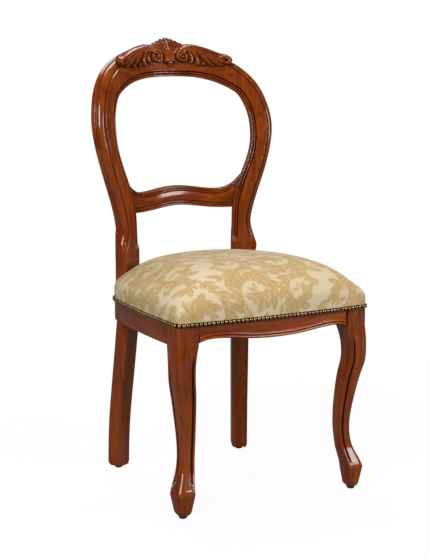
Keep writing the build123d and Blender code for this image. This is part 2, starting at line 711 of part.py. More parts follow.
COVER_HEM = TRIM_HEIGHT - TRIM_BAND / 2 + 1
COVER_GROW = COVER_THICK + SOFT_GAP - UPHOLSTERY_REBATE
SEAT_REAR = BACK_CENTRE + REAR_RAIL_FRONT + RAIL_THICK
SEAT_MIDDLE = (SEAT_FRONT - FRONT_BOW + SEAT_REAR) / 2
SEAT_HALF_DEPTH = SEAT_REAR - SEAT_MIDDLE


def crown_height(x, y):
    """Top of the stuffed seat: a gentle crown with a rolled edge."""
    taper = (SEAT_HALF_REAR - SEAT_HALF_FRONT) / (SEAT_TURN - SEAT_FRONT)
    across = abs(x) / (SEAT_HALF_FRONT + taper * (y - SEAT_FRONT))
    along = abs(y - SEAT_MIDDLE) / SEAT_HALF_DEPTH
    crown = CROWN_FALL * (across**4 + along**3) + CORNER_FALL * (across * along) ** 3
    far = max(0, y - SEAT_MIDDLE - REAR_START) / (SEAT_HALF_DEPTH - REAR_START)
    rear = far**2 * (REAR_FALL + REAR_CORNER_FALL * across**2)
    return CROWN_HEIGHT - crown - rear - EDGE_FALL * sqrt(across**10 + along**10)


def crown_block(inset):
    """Everything under the crowned top of the seat, lowered by an inset."""
    steps = [-step for step in reversed(CROWN_STEPS[1:])] + list(CROWN_STEPS)
    rows = []
    for across in steps:
        x = SEAT_HALF_FRONT * across
        spots = [SEAT_MIDDLE + SEAT_HALF_DEPTH * along for along in steps]
        rows.append([Vector(x, y, crown_height(x, y) - inset) for y in spots])
    return extrude(Face.make_surface_from_array_of_points(rows), amount=200, dir=(0, 0, -1))


def dome(inset, hem):
    """Crowned seat, drawn in at the trim and full above it, shrunk by an inset."""
    grow = COVER_GROW - inset
    levels = [
        (hem, grow),
        (TRIM_HEIGHT + TRIM_BAND / 2 + 1, grow),
        (SWELL_HEIGHT, grow + SIDE_SWELL),
        (CROWN_HEIGHT + 10, grow),
    ]
    sides = loft([Pos(0, 0, z) * seat_plan(out) for z, out in levels], ruled=True)
    return sides & crown_block(inset)


def make_soft_layers():
    """Fabric cover, wadding and foam, each notched round the rear legs."""
    outer = dome(0, COVER_HEM)
    inner = dome(COVER_THICK, COVER_HEM - 5)
    deck = RAIL_TOP + 2 * STRAP_THICK + CANVAS_THICK + SOFT_GAP
    above = Pos(0, 0, deck + 150) * Box(1000, 1000, 300)
    under_cover = COVER_THICK + SOFT_GAP
    under_wadding = under_cover + WADDING_THICK
    lining = dome(under_cover, COVER_HEM - 5) & above
    core = dome(under_wadding, COVER_HEM - 5) & above
    foam = dome(under_wadding + SOFT_GAP, COVER_HEM - 5) & above
    return [without_legs(layer, 1, 1, 1) for layer in (outer - inner, lining - core, foam)]


def make_straps(positions, lengthwise, level):
    sheet = without_legs(seat_prism(-8, level, level + STRAP_THICK), 3, 3, 3)
    straps = []
    for position in positions:
        size = (STRAP_WIDTH, 2000) if lengthwise else (2000, STRAP_WIDTH)
        middle = (position, 0) if lengthwise else (0, position)
        straps += (sheet & (Pos(middle[0], middle[1], level) * Box(size[0], size[1], 20))).solids()
    return straps


def make_trim_band():
    low = TRIM_HEIGHT - TRIM_BAND / 2
    inside = COVER_GROW + 0.2
    ring = seat_prism(inside + TRIM_BAND_THICK, low, low + TRIM_BAND)
    ring = ring - seat_prism(inside, low - 1, low + TRIM_BAND + 1)
    return without_legs(ring, 0.5, 5, 0.5).solids()


def make_nail():
    """Head of an upholstery nail as a faceted dome."""
    return frustum(Plane.XY, NAIL_RADIUS, 0.45 * NAIL_RADIUS, NAIL_RISE, NAIL_SIDES)


def nails_along(path, margin):
    """Nails at an even pitch along a path, facing outward."""
    nail = make_nail()
    count = int((path.length - 2 * margin) / NAIL_PITCH)
    start = (path.length - count * NAIL_PITCH) / 2
    nails = []
    for index in range(count + 1):
        share = (start + index * NAIL_PITCH) / path.length
        spot = path.position_at(share)
        along = path.tangent_at(share)
        outward = Vector(along.Y, -along.X, 0)
        origin = Vector(spot.X, spot.Y, TRIM_HEIGHT)
        nails.append(Plane(origin=origin, x_dir=(0, 0, 1), z_dir=outward).location * nail)
    return nails


# Joinery
RAIL_MIDDLE = (RAIL_TOP + RAIL_BOTTOM) / 2
DOWEL_LEVELS = (RAIL_MIDDLE - DOWEL_SPREAD / 2, RAIL_MIDDLE + DOWEL_SPREAD / 2)


def along_back(along, z, depth):
    return back_point(TURN, along, z, lean(z) + depth)


def dowel_lines():
    """Start and end of each dowel on the right side, by joint."""
    front_y = SEAT_FRONT + POST_PROUD + RAIL_THICK / 2
    side_x = side_edge(POST_BACK) - RAIL_THICK / 2
    rear_depth = REAR_RAIL_FRONT + RAIL_THICK / 2
    leg_spot = LEG_BLOCK_OUT - 7
    joint = (CREST_ARCH - CREST_DROP + CREST_SHOULDER) / 2
    cross = CROSS_BOTTOM + 23
    depth = STILE_THICK / 2
    cross_depth = CROSS_SET_BACK + CROSS_THICK / 2
    reach = DOWEL_DEPTH
    crest_half = CREST_DOWEL_SPREAD / 2
    cross_half = CROSS_DOWEL_SPREAD / 2
    lines = {"front_rail_dowels": [], "side_rail_dowels": [], "rear_rail_dowels": []}
    for z in DOWEL_LEVELS:
        inner = Vector(POST_IN - reach, front_y, z)
        lines["front_rail_dowels"].append((inner, inner + Vector(2 * reach, 0, 0)))
        front = Vector(side_x, POST_BACK - reach, z)
        lines["side_rail_dowels"].append((front, front + Vector(0, 2 * reach, 0)))
        lines["side_rail_dowels"].append((along_back(leg_spot, z, -10), along_back(leg_spot, z, reach)))
        inner = along_back(LEG_BLOCK_IN - reach, z, rear_depth)
        lines["rear_rail_dowels"].append((inner, along_back(LEG_BLOCK_IN + reach, z, rear_depth)))
    lines["crest_rail_dowels"] = [
        (along_back(-reach, z, depth), along_back(reach, z, depth))
        for z in (joint - crest_half, joint + crest_half)
    ]
    lines["cross_rail_dowels"] = [
        (along_back(-26, z, cross_depth), along_back(14, z, cross_depth))
        for z in (cross - cross_half, cross + cross_half)
    ]
    return lines


def bored(shape, lines):
    """Shape with a hole for every dowel or pin that reaches it, on both sides of the chair."""
    for start, end in lines:
        for hole in on_both_sides(rod(start, end, DOWEL_RADIUS + DOWEL_FIT)):
            shape = shape - hole
    return shape


def make_corner_block():
    front = FRONT_INSIDE
    rear = POST_BACK + BLOCK_LEG
    low = RAIL_BOTTOM + BLOCK_LIFT
    plan = [
        (POST_IN - BLOCK_LEG, front),
        (POST_IN, front),
        (POST_IN, POST_BACK),
        (seat_inside(POST_BACK), POST_BACK),
        (seat_inside(rear), rear),
    ]
    return upright(plan, low, low + BLOCK_TALL), Vector(*plan[0], 0), Vector(*plan[-1], 0)


def make_screws(first, last):
    """Two pan-head screws square to the long face of the corner block, into the front post."""
    way = last - first
    inward = Vector(way.Y, -way.X, 0).normalized()
    middle = (first + last) * 0.5
    level = RAIL_BOTTOM + BLOCK_LIFT + BLOCK_TALL / 2
    screws = []
    holes = []
    for z in (level - 10, level + 10):
        spot = Vector(middle.X, middle.Y, z)
        shank = rod(spot, spot + inward * SCREW_LENGTH, SCREW_RADIUS)
        screws.append(shank + rod(spot - inward * SCREW_HEAD, spot, SCREW_HEAD_RADIUS))
        holes.append(rod(spot - inward, spot + inward * (SCREW_LENGTH + 0.5), SCREW_RADIUS + DOWEL_FIT))
    return screws, holes


def make_dust_cover():
    """Thin cloth stapled under the corner blocks, clear of the rails round it."""
    gap = DUST_GAP
    level = RAIL_BOTTOM + BLOCK_LIFT - DUST_THICK
    half = [
        (POST_IN - gap, FRONT_INSIDE + gap),
        (POST_IN - gap, POST_BACK + gap),
        (seat_inside(POST_BACK) - gap, POST_BACK + gap),
        (seat_inside(HAUNCH_FRONT) - 1.6 * gap, HAUNCH_FRONT),
        (RAIL_SEAT.X - gap, RAIL_SEAT.Y - gap),
    ]
    plan = half + [(-x, y) for x, y in reversed(half)]
    sheet = upright(plan, level, level + DUST_THICK)
    rear = bent_band(level - 5, level + 5, -gap, 200, 20)
    return without_legs(sheet - rear, gap, gap, gap)


# Feet
def foot_spots():
    front = leg_centre(FOOT_SHIFT)
    rear = back_point(TURN, REAR_LEG_FOOT_IN + REAR_LEG_FOOT_WIDTH / 2, 0, REAR_LEG_SWEEP + STILE_THICK / 2)
    return {"front": Vector(front[0], front[1], 0), "rear": rear}


def make_glide(spot):
    """Domed nail-on glide with a flat sole."""
    seat = Plane(spot + Vector(0, 0, GLIDE_HEIGHT), z_dir=(0, 0, -1))
    cap = frustum(seat, GLIDE_RADIUS, GLIDE_RADIUS - 2.5, GLIDE_HEIGHT, GLIDE_SIDES)
    tip = spot + Vector(0, 0, GLIDE_HEIGHT + GLIDE_PIN)
    return cap + rod(spot + Vector(0, 0, 1), tip, SCREW_RADIUS)


def pin_hole(spot):
    top = GLIDE_HEIGHT + GLIDE_PIN + 0.5
    low = Vector(spot.X, spot.Y, GLIDE_HEIGHT - 1)
    return rod(low, Vector(spot.X, spot.Y, top), SCREW_RADIUS + DOWEL_FIT)


# Assembly
dowels = dowel_lines()
spots = foot_spots()
plain_rear_leg = make_rear_leg()
crest_shares = [2 * step / CREST_STEPS - 1 for step in range(CREST_STEPS + 1)]
plain_crest = loft([Face(crest_wire(share)) for share in crest_shares], ruled=True)
corner_block, block_first, block_last = make_corner_block()
screws, screw_holes = make_screws(block_first, block_last)
front_leg = rebated(make_front_leg())
front_leg = bored(front_leg, dowels["front_rail_dowels"] + dowels["side_rail_dowels"][::2])
for hole in screw_holes + [pin_hole(spots["front"])]:
    front_leg = front_leg - hole
    corner_block = corner_block - hole
leg_joints = dowels["side_rail_dowels"][1::2] + dowels["rear_rail_dowels"]
leg_joints += dowels["crest_rail_dowels"] + dowels["cross_rail_dowels"]
rear_leg = bored(plain_rear_leg, leg_joints) - pin_hole(spots["rear"])
side_rail = bored(rebated(make_side_rail()), dowels["side_rail_dowels"])
seat_cover, seat_wadding, seat_foam = make_soft_layers()
strap_level = RAIL_TOP
canvas_level = RAIL_TOP + 2 * STRAP_THICK
canvas = without_legs(seat_prism(-6, canvas_level, canvas_level + CANVAS_THICK), 2, 2, 2)
trim_path = seat_half_edges(COVER_GROW + 0.3 + TRIM_BAND_THICK)
trim_wire = Wire(trim_path + [edge.mirror(Plane.YZ) for edge in trim_path])
rear_grow = COVER_GROW + 0.3 + TRIM_BAND_THICK
rear_wire = Wire([Edge.make_three_point_arc(*[rear_point(share, rear_grow) for share in (0.9, 0, -0.9)])])

nodes = {
    "crest_rail": bored(plain_crest, dowels["crest_rail_dowels"]),
    "crest_carving": make_carving(plain_crest),
    "back_cross_rail": bored(
        make_cross_rail(on_both_sides(plain_rear_leg)), dowels["cross_rail_dowels"]),
    "front_seat_rail": bored(make_front_rail(), dowels["front_rail_dowels"]),
    "rear_seat_rail": bored(rebated(make_rear_rail()), dowels["rear_rail_dowels"]),
    "corner_block_screws": [one for screw in screws for one in on_both_sides(screw)],
    "webbing_lengthwise": make_straps(LENGTHWISE_STRAPS, True, strap_level),
    "webbing_crosswise": make_straps(CROSSWISE_STRAPS, False, strap_level + STRAP_THICK),
    "hessian_canvas": canvas,
    "seat_foam": seat_foam,
    "seat_wadding": seat_wadding,
    "seat_cover": seat_cover,
    "trim_band": make_trim_band(),
    "upholstery_nails": nails_along(trim_wire, 6),
    "upholstery_nails_rear": nails_along(rear_wire, 2),
    "dust_cover": make_dust_cover(),
}
for name, lines in dowels.items():
    pegs = [rod(start, end, DOWEL_RADIUS) for start, end in lines]
    nodes[name] = [one for peg in pegs for one in on_both_sides(peg)]
pairs = {
    "rear_leg": rear_leg,
    "front_leg": front_leg,
    "side_seat_rail": side_rail,
    "corner_block": corner_block,
}
for name, spot in spots.items():
    pairs[f"{name}_glide"] = make_glide(spot)
for name, shape in pairs.items():
    nodes[f"{name}_right"] = shape
    nodes[f"{name}_left"] = mirrored(shape)

# The origin goes under the middle of the chair's depth
nodes = {name: Compound(shape) if isinstance(shape, list) else shape for name, shape in nodes.items()}
boxes = [shape.bounding_box() for shape in nodes.values()]
depth_middle = (min(box.min.Y for box in boxes) + max(box.max.Y for box in boxes)) / 2
os.makedirs("parts", exist_ok=True)
for name, shape in nodes.items():
    export_step(Pos(0, -depth_middle, 0) * shape, f"parts/{name}.step")
    print(name, shape.is_valid, len(shape.solids()), round(shape.volume))
print("origin moved by", depth_middle)
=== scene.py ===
from itertools import product
from math import cos, pi, radians, sin, sqrt

import bmesh
import bpy
import numpy as np
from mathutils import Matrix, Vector


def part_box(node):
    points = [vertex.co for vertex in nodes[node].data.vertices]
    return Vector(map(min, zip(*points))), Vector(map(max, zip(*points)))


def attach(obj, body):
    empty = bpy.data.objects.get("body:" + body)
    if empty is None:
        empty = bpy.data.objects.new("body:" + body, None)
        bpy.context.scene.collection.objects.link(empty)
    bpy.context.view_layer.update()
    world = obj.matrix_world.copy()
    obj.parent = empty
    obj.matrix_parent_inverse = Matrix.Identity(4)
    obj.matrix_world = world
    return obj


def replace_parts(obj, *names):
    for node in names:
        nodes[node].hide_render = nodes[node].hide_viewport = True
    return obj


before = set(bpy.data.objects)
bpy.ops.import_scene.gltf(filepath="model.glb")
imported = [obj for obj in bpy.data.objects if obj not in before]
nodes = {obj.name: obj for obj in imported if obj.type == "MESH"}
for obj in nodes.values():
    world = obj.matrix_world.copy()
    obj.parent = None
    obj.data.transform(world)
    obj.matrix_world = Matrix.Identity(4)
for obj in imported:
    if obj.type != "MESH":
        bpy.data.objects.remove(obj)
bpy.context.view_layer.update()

# A balloon-back dining chair. Metres, +Z up, the sitter faces -Y, the floor is z = 0.

# Seat plan, as in the frame
SEAT_HALF_FRONT = 0.229
SEAT_HALF_REAR = 0.2035
SEAT_FRONT = -0.242
SEAT_TURN = 0.084
FRONT_BOW = 0.009
SIDE_BOW = 0.0065
TURN_BOW = 0.005
POST_ROUND = 0.014
REBATE = 0.0025  # of the rails and posts, in which the cover lies
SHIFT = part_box("front_seat_rail")[0][1] - (SEAT_FRONT - FRONT_BOW + REBATE)  # frame, from the plan
RAIL_TOP = 0.420
REAR_FACE = 0.028  # rear rail, behind the face of the back
RAIL_END_DEPTH = 0.027

# Dished back
BACK_RADIUS = 0.295
BACK_CENTRE = 0.162
BACK_AXIS = BACK_CENTRE - BACK_RADIUS
TURN = radians(26)
LEAN_START = 0.545
LEAN_SLOPE = 0.03
LEAN_RADIUS = 1.5
LEG_IN = -0.013
LEG_OUT = 0.0335
LEG_GAP = 0.0012  # cover, from the rear legs

# Upholstery
CROWN_HEIGHT = 0.504
CROWN_FALL = 0.012
CORNER_FALL = 0.014
EDGE_FALL = 0.044
REAR_START = -0.30  # share of the half depth from which the crown also falls to the rear
REAR_FALL = 0.0123
REAR_CORNER_FALL = 0.062
SIDE_EASE = 0.75  # the side edge is less rolled towards the rear
RIM_LOW = 0.428  # the rim stays above the deck
RIM_EASE = 0.012  # height over which it is eased to that
COVER_GROW = -0.0005  # cover at the trim, from the outer face of the rails
SIDE_SWELL = 0.0024  # fullness of the sides above the trim
SWELL_START = 0.006  # above the trim
SWELL_RISE = 0.02  # height over which the sides come to it
COVER_HEM = 0.3988
TRIM_HEIGHT = 0.402
DECK = 0.4262  # underside of the stuffing, on the hessian
AROUND = 640  # points round the seat
ACROSS = 104  # points from the hem to the middle of the seat
COVER_EASE = 3.2  # points over which its bends are eased


# Geometry of the frame
def lean(z):
    """How far the back has leant away from upright at a height."""
    rise = np.maximum(z - LEAN_START, 0.0)
    return LEAN_SLOPE * rise + rise * rise / (2 * LEAN_RADIUS)


def columns(*parts):
    return np.column_stack(parts)


def polar(middle, radius, angle):
    return columns(middle[0] + radius * np.cos(angle), middle[1] + radius * np.sin(angle))


def swung(turn, along, reach, axis):
    """Plan place on the back: at a reach from its axis, turned about it, moved along the tangent."""
    return reach * np.sin(turn) + along * np.cos(turn), axis + reach * np.cos(turn) - along * np.sin(turn)


def back_plan(turn, along, behind):
    """Plan point behind the face of the back."""
    return np.array(swung(turn, along, BACK_RADIUS + behind, BACK_AXIS + SHIFT))


def arc(start, middle, end, count):
    """Points of the circular arc through three plan points, without its end."""
    a, b, c = (complex(*point) for point in (start, middle, end))
    ratio = (c - a) / (b - a)
    centre = a + (b - a) * (ratio - abs(ratio) ** 2) / (2j * ratio.imag)
    sweep = np.angle((b - centre) / (a - centre)) + np.angle((c - centre) / (b - centre))
    points = centre + (a - centre) * np.exp(1j * sweep * np.arange(count) / count)
    return columns(points.real, points.imag)


def evened(track, values, shares):
    """Rows of values at shares of the length of a track of points, and how far along each one lies."""
    steps = np.linalg.norm(np.diff(track, axis=0), axis=1)
    length = np.concatenate([[0], np.cumsum(steps)])
    along = shares * length[-1]
    return np.stack([np.interp(along, length, column) for column in values.T], 1), along


def side_edge(y):
    share = (y - SEAT_FRONT) / (SEAT_TURN - SEAT_FRONT)
    return SEAT_HALF_FRONT + (SEAT_HALF_REAR - SEAT_HALF_FRONT) * share + 4 * SIDE_BOW * share * (1 - share)


def seat_half():
    """Right half of the seat outline, from front to rear, and where it is tucked in round the leg."""
    front = np.array([0, SEAT_FRONT - FRONT_BOW + SHIFT])
    centre = np.array([SEAT_HALF_FRONT - POST_ROUND, SEAT_FRONT + POST_ROUND + SHIFT])
    corner_start = centre + [0, -POST_ROUND]
    corner_end = np.array([SEAT_HALF_FRONT, centre[1]])
    quarter = np.array([centre[0] / 2, SEAT_FRONT - 0.75 * FRONT_BOW + SHIFT])
    middle = (SEAT_FRONT + POST_ROUND + SEAT_TURN) / 2
    turn_start = np.array([SEAT_HALF_REAR, SEAT_TURN + SHIFT])
    rail_end = back_plan(TURN, LEG_OUT + LEG_GAP, RAIL_END_DEPTH)
    way = rail_end - turn_start
    swell = (turn_start + rail_end) / 2 + TURN_BOW * np.array([way[1], -way[0]]) / np.linalg.norm(way)
    outer = back_plan(TURN, LEG_OUT + LEG_GAP, -LEG_GAP)
    inner = back_plan(TURN, LEG_IN - LEG_GAP, -LEG_GAP)
    rear_end = back_plan(TURN, LEG_IN - LEG_GAP, REAR_FACE)
    rear_middle = back_plan(0, 0, REAR_FACE)
    near = back_plan(TURN / 2, 0, REAR_FACE)
    outside = [
        arc(front, quarter, corner_start, 60),
        arc(corner_start, centre + POST_ROUND * sqrt(0.5) * np.array([1, -1]), corner_end, 16),
        arc(corner_end, (side_edge(middle), middle + SHIFT), turn_start, 80),
        arc(turn_start, swell, rail_end, 24),
    ]
    sides = ((rail_end, outer, 10), (outer, inner, 16), (inner, rear_end, 10))
    notch = [np.linspace(start, end, count, endpoint=False) for start, end, count in sides]
    rear = [arc(rear_end, near, rear_middle, 36)]
    points = np.concatenate(outside + notch + rear + [rear_middle[None]])
    first = sum(len(part) for part in outside)
    last = first + sum(len(part) for part in notch)
    tucked = np.zeros(len(points))
    tucked[first:last + 1] = 1
    return columns(points, tucked)


def seat_outline():
    """Closed outline in even steps, its outward normals, where it is tucked in round a leg, and the steps."""
    half = seat_half()
    closed = np.concatenate([half, (half * [-1, 1, 1])[-2:0:-1], half[:1]])
    points, along = evened(closed[:, :2], closed, np.arange(AROUND) / AROUND)
    outline = points[:, :2]
    tangent = np.roll(outline, -1, 0) - np.roll(outline, 1, 0)
    normal = columns(tangent[:, 1], -tangent[:, 0])
    return outline, normal / np.linalg.norm(normal, axis=1)[:, None], points[:, 2], along


SEAT_REAR = BACK_CENTRE + REAR_FACE
SEAT_MIDDLE = (SEAT_FRONT - FRONT_BOW + SEAT_REAR) / 2
SEAT_HALF_DEPTH = SEAT_REAR - SEAT_MIDDLE


def crown_height(x, y):
    """Top of the stuffed seat: a gentle crown with a rolled edge."""
    taper = (SEAT_HALF_REAR - SEAT_HALF_FRONT) / (SEAT_TURN - SEAT_FRONT)
    across = np.abs(x) / (SEAT_HALF_FRONT + taper * (y - SHIFT - SEAT_FRONT))
    place = (y - SHIFT - SEAT_MIDDLE) / SEAT_HALF_DEPTH
    along = np.abs(place)
    far = np.clip((place - REAR_START) / (1 - REAR_START), 0, None) ** 2
    crown = CROWN_FALL * (across**4 + along**3) + CORNER_FALL * (across * along) ** 3
    edge = EDGE_FALL * np.sqrt((1 - SIDE_EASE * far) ** 2 * across**10 + along**10)
    height = CROWN_HEIGHT - crown - edge - far * (REAR_FALL + REAR_CORNER_FALL * across**2)
    return RIM_LOW + RIM_EASE * np.logaddexp(0, (height - RIM_LOW) / RIM_EASE)


# Node helpers
def new_material(name, inputs, *settings):
    """A material whose shader takes the inputs that a function works out in its node tree."""
    material = bpy.data.materials.new(name)
    material.use_nodes = True
    tree = material.node_tree
    feed(tree, tree.nodes["Principled BSDF"], inputs(tree, *settings))
    return material


def feed(tree, node, values):
    """Links outputs to a node's inputs, or sets constants on them."""
    for key, value in values.items():
        if isinstance(value, bpy.types.NodeSocket):
            tree.links.new(value, node.inputs[key])
        else:
            node.inputs[key].default_value = value


def add(tree, kind, values=None, **settings):
    node = tree.nodes.new("ShaderNode" + kind)
    for key, value in settings.items():
        setattr(node, key, value)
    feed(tree, node, values or {})
    return node


def ramp(tree, source, stops):
    node = add(tree, "ValToRGB", {"Fac": source})
    elements = node.color_ramp.elements
    while len(elements) < len(stops):
        elements.new(0.5)
    for element, (position, colour) in zip(elements, stops):
        element.position = position
        element.color = (*colour, 1)
    return node.outputs["Color"]


def mix_colour(tree, factor, first, second, mode="MIX"):
    values = {0: factor, 6: first, 7: second}
    values = {key: (*value, 1) if isinstance(value, tuple) else value for key, value in values.items()}
    return add(tree, "Mix", values, data_type="RGBA", blend_type=mode).outputs[2]


def combine(tree, operation, first, second):
    return add(tree, "Math", {0: first, 1: second}, operation=operation).outputs[0]


def noise(tree, scale, detail=4.0, roughness=0.55, distortion=0.0, offset=(0, 0, 0), source="Object"):
    return add(tree, "TexNoise", {
        "Vector": mapped(tree, scale, offset, source), "Scale": 1.0, "Detail": detail,
        "Roughness": roughness, "Distortion": distortion,
    }).outputs["Fac"]


def mapped(tree, scale, offset=(0, 0, 0), source="Object"):
    place = add(tree, "TexCoord").outputs[source]
    return add(tree, "Mapping", {"Vector": place, "Scale": scale, "Location": offset}).outputs["Vector"]


def bump(tree, height, strength, distance, normal=None):
    values = {"Strength": strength, "Distance": distance, "Height": height}
    if normal:
        values["Normal"] = normal
    return add(tree, "Bump", values).outputs["Normal"]


def average(tree, first, second):
    return combine(tree, "MULTIPLY", combine(tree, "ADD", first, second), 0.5)


def ranged(tree, source, low, high):
    """A share of the way from low to high."""
    return add(tree, "MapRange", {"Value": source, "To Min": low, "To Max": high}).outputs["Result"]


def openness(tree, reach):
    """1 on open surfaces, less in hollows narrower than the reach."""
    return add(tree, "AmbientOcclusion", {"Distance": reach}, samples=8).outputs["AO"]


def toned(colour, share):
    return [share * channel for channel in colour]


# Materials
WOOD_DARK = (0.085, 0.0120, 0.0007)
WOOD_MID = (0.195, 0.0310, 0.0009)
WOOD_LIGHT = (0.320, 0.0680, 0.0020)
# painted shade: the colour that the wood's grooves and hollows are darkened towards
WOOD_PAINTED_SHADE = (0.16, 0.12, 0.11)
EDGE_ROUND = 0.0009  # radius at which the wood's edges catch the light
BLACK = (0.0, 0.0, 0.0)
WHITE = (1.0, 1.0, 1.0)


def lacquered_wood(tree, grain, seed, tone=1.0, hollow=0.007):
    """Stained hardwood under gloss lacquer, with painted shade in its grooves; grain is the axis that its
    fibres follow.
    """
    offset = (0.37 * seed, 0.61 * seed, 0.23 * seed)
    broad = noise(tree, [3.5 if axis == grain else 42.0 for axis in "XYZ"], 6.0, 0.6, 1.6, offset)
    fibres = noise(tree, [12.0 if axis == grain else 420.0 for axis in "XYZ"], 5.0, 0.7, 0.0, offset)
    cloudy = noise(tree, (9, 9, 9), 3.0, offset=offset)
    pores = ramp(tree, fibres, [(0.34, BLACK), (0.46, WHITE)])
    dark, middle, light = (toned(shade, tone) for shade in (WOOD_DARK, WOOD_MID, WOOD_LIGHT))
    stain = ramp(tree, broad, [(0.24, dark), (0.48, middle), (0.74, light)])
    stain = mix_colour(tree, 0.22, stain, pores, "MULTIPLY")
    # Painted shade: the colour is darkened in grooves and hollows narrower than the reach hollow.
    shade = ramp(tree, openness(tree, hollow), [(0.35, WOOD_PAINTED_SHADE), (0.85, WHITE)])
    rounded_edge = add(tree, "Bevel", {"Radius": EDGE_ROUND}, samples=16).outputs["Normal"]
    glued = add(tree, "Attribute", attribute_name="joint").outputs["Fac"]
    plain = add(tree, "NewGeometry").outputs["Normal"]
    surface = add(tree, "Mix", {0: glued, 4: rounded_edge, 5: plain}, data_type="VECTOR").outputs[1]
    return {
        "Base Color": mix_colour(tree, 1.0, stain, shade, "MULTIPLY"),
        "Roughness": ranged(tree, cloudy, 0.20, 0.36),
        "Normal": bump(tree, fibres, 0.12, 0.0004, surface), "Coat Normal": surface,
        "Coat Weight": 0.75, "Coat Roughness": 0.13, "Specular IOR Level": 0.05,
    }


def raw_wood(tree, colour):
    """Unfinished beech of the hidden blocks and dowels."""
    figure = noise(tree, (8, 90, 90), 5.0, 0.6, 0.8)
    return {
        "Base Color": ramp(tree, figure, [(0.3, toned(colour, 0.62)), (0.7, colour)]),
        "Normal": bump(tree, figure, 0.2, 0.0004), "Roughness": 0.72,
    }


GROUND = (0.62, 0.495, 0.315)
GROUND_PALE = (0.71, 0.59, 0.405)
GOLD = (0.465, 0.285, 0.080)
GOLD_PALE = (0.585, 0.40, 0.155)


def damask(tree):
    """Satin ground with a duller scrolling leaf, woven in fine threads."""
    leaf, vein = (add(tree, "Attribute", attribute_name=name).outputs["Fac"] for name in ("leaf", "vein"))
    ragged = noise(tree, (420, 420, 1), 6.0, 0.75, source="UV")
    blotch = noise(tree, (95, 60, 1), 6.0, 0.72, 0.6, (3, 1, 0), "UV")
    field = leaf
    for edge, gain in ((ragged, 0.9), (blotch, 0.8)):
        centred = combine(tree, "SUBTRACT", edge, 0.5)
        field = combine(tree, "ADD", field, combine(tree, "MULTIPLY", centred, gain))
    drawn = ramp(tree, field, [(0.43, BLACK), (0.56, WHITE)])
    ground = ramp(tree, ragged, [(0.30, GROUND), (0.62, GROUND_PALE)])
    gold = ramp(tree, ragged, [(0.36, GOLD), (0.70, GOLD_PALE)])
    worn = ramp(tree, blotch, [(0.48, BLACK), (0.62, toned(WHITE, 0.65))])
    vein = ramp(tree, vein, [(0.55, BLACK), (0.9, toned(WHITE, 0.32))])
    pale = mix_colour(tree, 1.0, worn, vein, "LIGHTEN")
    colour = mix_colour(tree, drawn, ground, mix_colour(tree, pale, gold, ground))
    warp = noise(tree, (2300, 260, 1), 2.0, source="UV")
    weft = noise(tree, (260, 2300, 1), 2.0, source="UV")
    threads = average(tree, warp, weft)
    fleck = ramp(tree, threads, [(0.36, (0.84, 0.82, 0.78)), (0.62, WHITE)])
    raised = combine(tree, "ADD", combine(tree, "MULTIPLY", drawn, 0.6), threads)
    return {
        "Base Color": mix_colour(tree, 1.0, colour, fleck, "MULTIPLY"),
        "Roughness": ranged(tree, drawn, 0.55, 0.75), "Normal": bump(tree, raised, 0.35, 0.0005),
        "Sheen Weight": 0.15, "Sheen Roughness": 0.4, "Specular IOR Level": 0.25,
    }


def antique_brass(tree, bright, dark, roughness):
    """Brass, dark brown where its surface is shut in and bright where it is open, as on the crown: partly
    patina, partly painted shade where the nails meet the cloth and each other.
    """
    spots = noise(tree, (420, 420, 420), 4.0, 0.6)
    # Patina and painted shade: the dark colour where the surface is shut in by the cloth and the neighbouring
    # nails.
    patina_and_shade = combine(tree, "MULTIPLY", openness(tree, 0.004), spots)
    return {
        "Base Color": ramp(tree, patina_and_shade, [(0.26, dark), (0.58, bright)]),
        "Roughness": ranged(tree, spots, roughness, roughness + 0.2),
        "Normal": bump(tree, spots, 0.15, 0.0003), "Metallic": 1.0,
    }


def coarse_cloth(tree, colour, pitch):
    """Plain weave: two crossed thread directions and slubs."""
    thread = {"Vector": mapped(tree, [1 / pitch] * 3), "Scale": 0.5, "Distortion": 0.6, "Detail": 1.0}
    waves = [add(tree, "TexWave", thread, bands_direction=axis).outputs["Fac"] for axis in "XY"]
    weave = combine(tree, "MULTIPLY", *waves)
    tone = average(tree, weave, noise(tree, (70, 70, 70)))
    return {
        "Base Color": ramp(tree, tone, [(0.2, toned(colour, 0.5)), (0.7, colour)]),
        "Normal": bump(tree, weave, 0.5, 0.0006), "Roughness": 0.9,
    }


def moulded(tree, colour, roughness, metallic=0.0):
    """Fine-textured nylon or plated steel of the small hidden parts."""
    speck = noise(tree, (900, 900, 900), 3.0)
    return {
        "Base Color": ramp(tree, speck, [(0.3, toned(colour, 0.7)), (0.7, colour)]),
        "Roughness": ranged(tree, speck, roughness, roughness + 0.15),
        "Normal": bump(tree, speck, 0.1, 0.0002), "Metallic": metallic,
    }


# Mesh helpers
def placed(name, data):
    piece = bpy.data.objects.new(name, data)
    bpy.context.scene.collection.objects.link(piece)
    return piece


def mesh_object(name, vertices, faces, material):
    mesh = bpy.data.meshes.new(name)
    mesh.from_pydata([tuple(v) for v in vertices], [], [tuple(f) for f in faces])
    mesh.validate()
    mesh.materials.append(material)
    mesh.polygons.foreach_set("use_smooth", [True] * len(mesh.polygons))
    piece = placed(name, mesh)
    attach(piece, "root")
    return piece


def set_attribute(mesh, name, values):
    mesh.attributes.new(name, "FLOAT", "POINT").data.foreach_set("value", values)


def wrapped(count, sides, start=0):
    """Quads over a row of rings, each closed round."""
    index = start + np.arange(count * sides).reshape(count, sides)
    following = np.roll(index, -1, 1)
    return np.stack([index[:-1], following[:-1], following[1:], index[1:]], 2).reshape(-1, 4).tolist()


def fan(ring, tip):
    """Triangles from a ring of vertices to a tip."""
    return [(a, b, tip) for a, b in zip(ring, [*ring[1:], ring[0]])]


def joined_mesh(node):
    """The mesh of a frame node, its split vertices joined."""
    shape = bmesh.new()
    shape.from_mesh(nodes[node].data)
    bmesh.ops.remove_doubles(shape, verts=shape.verts, dist=1e-5)
    return shape


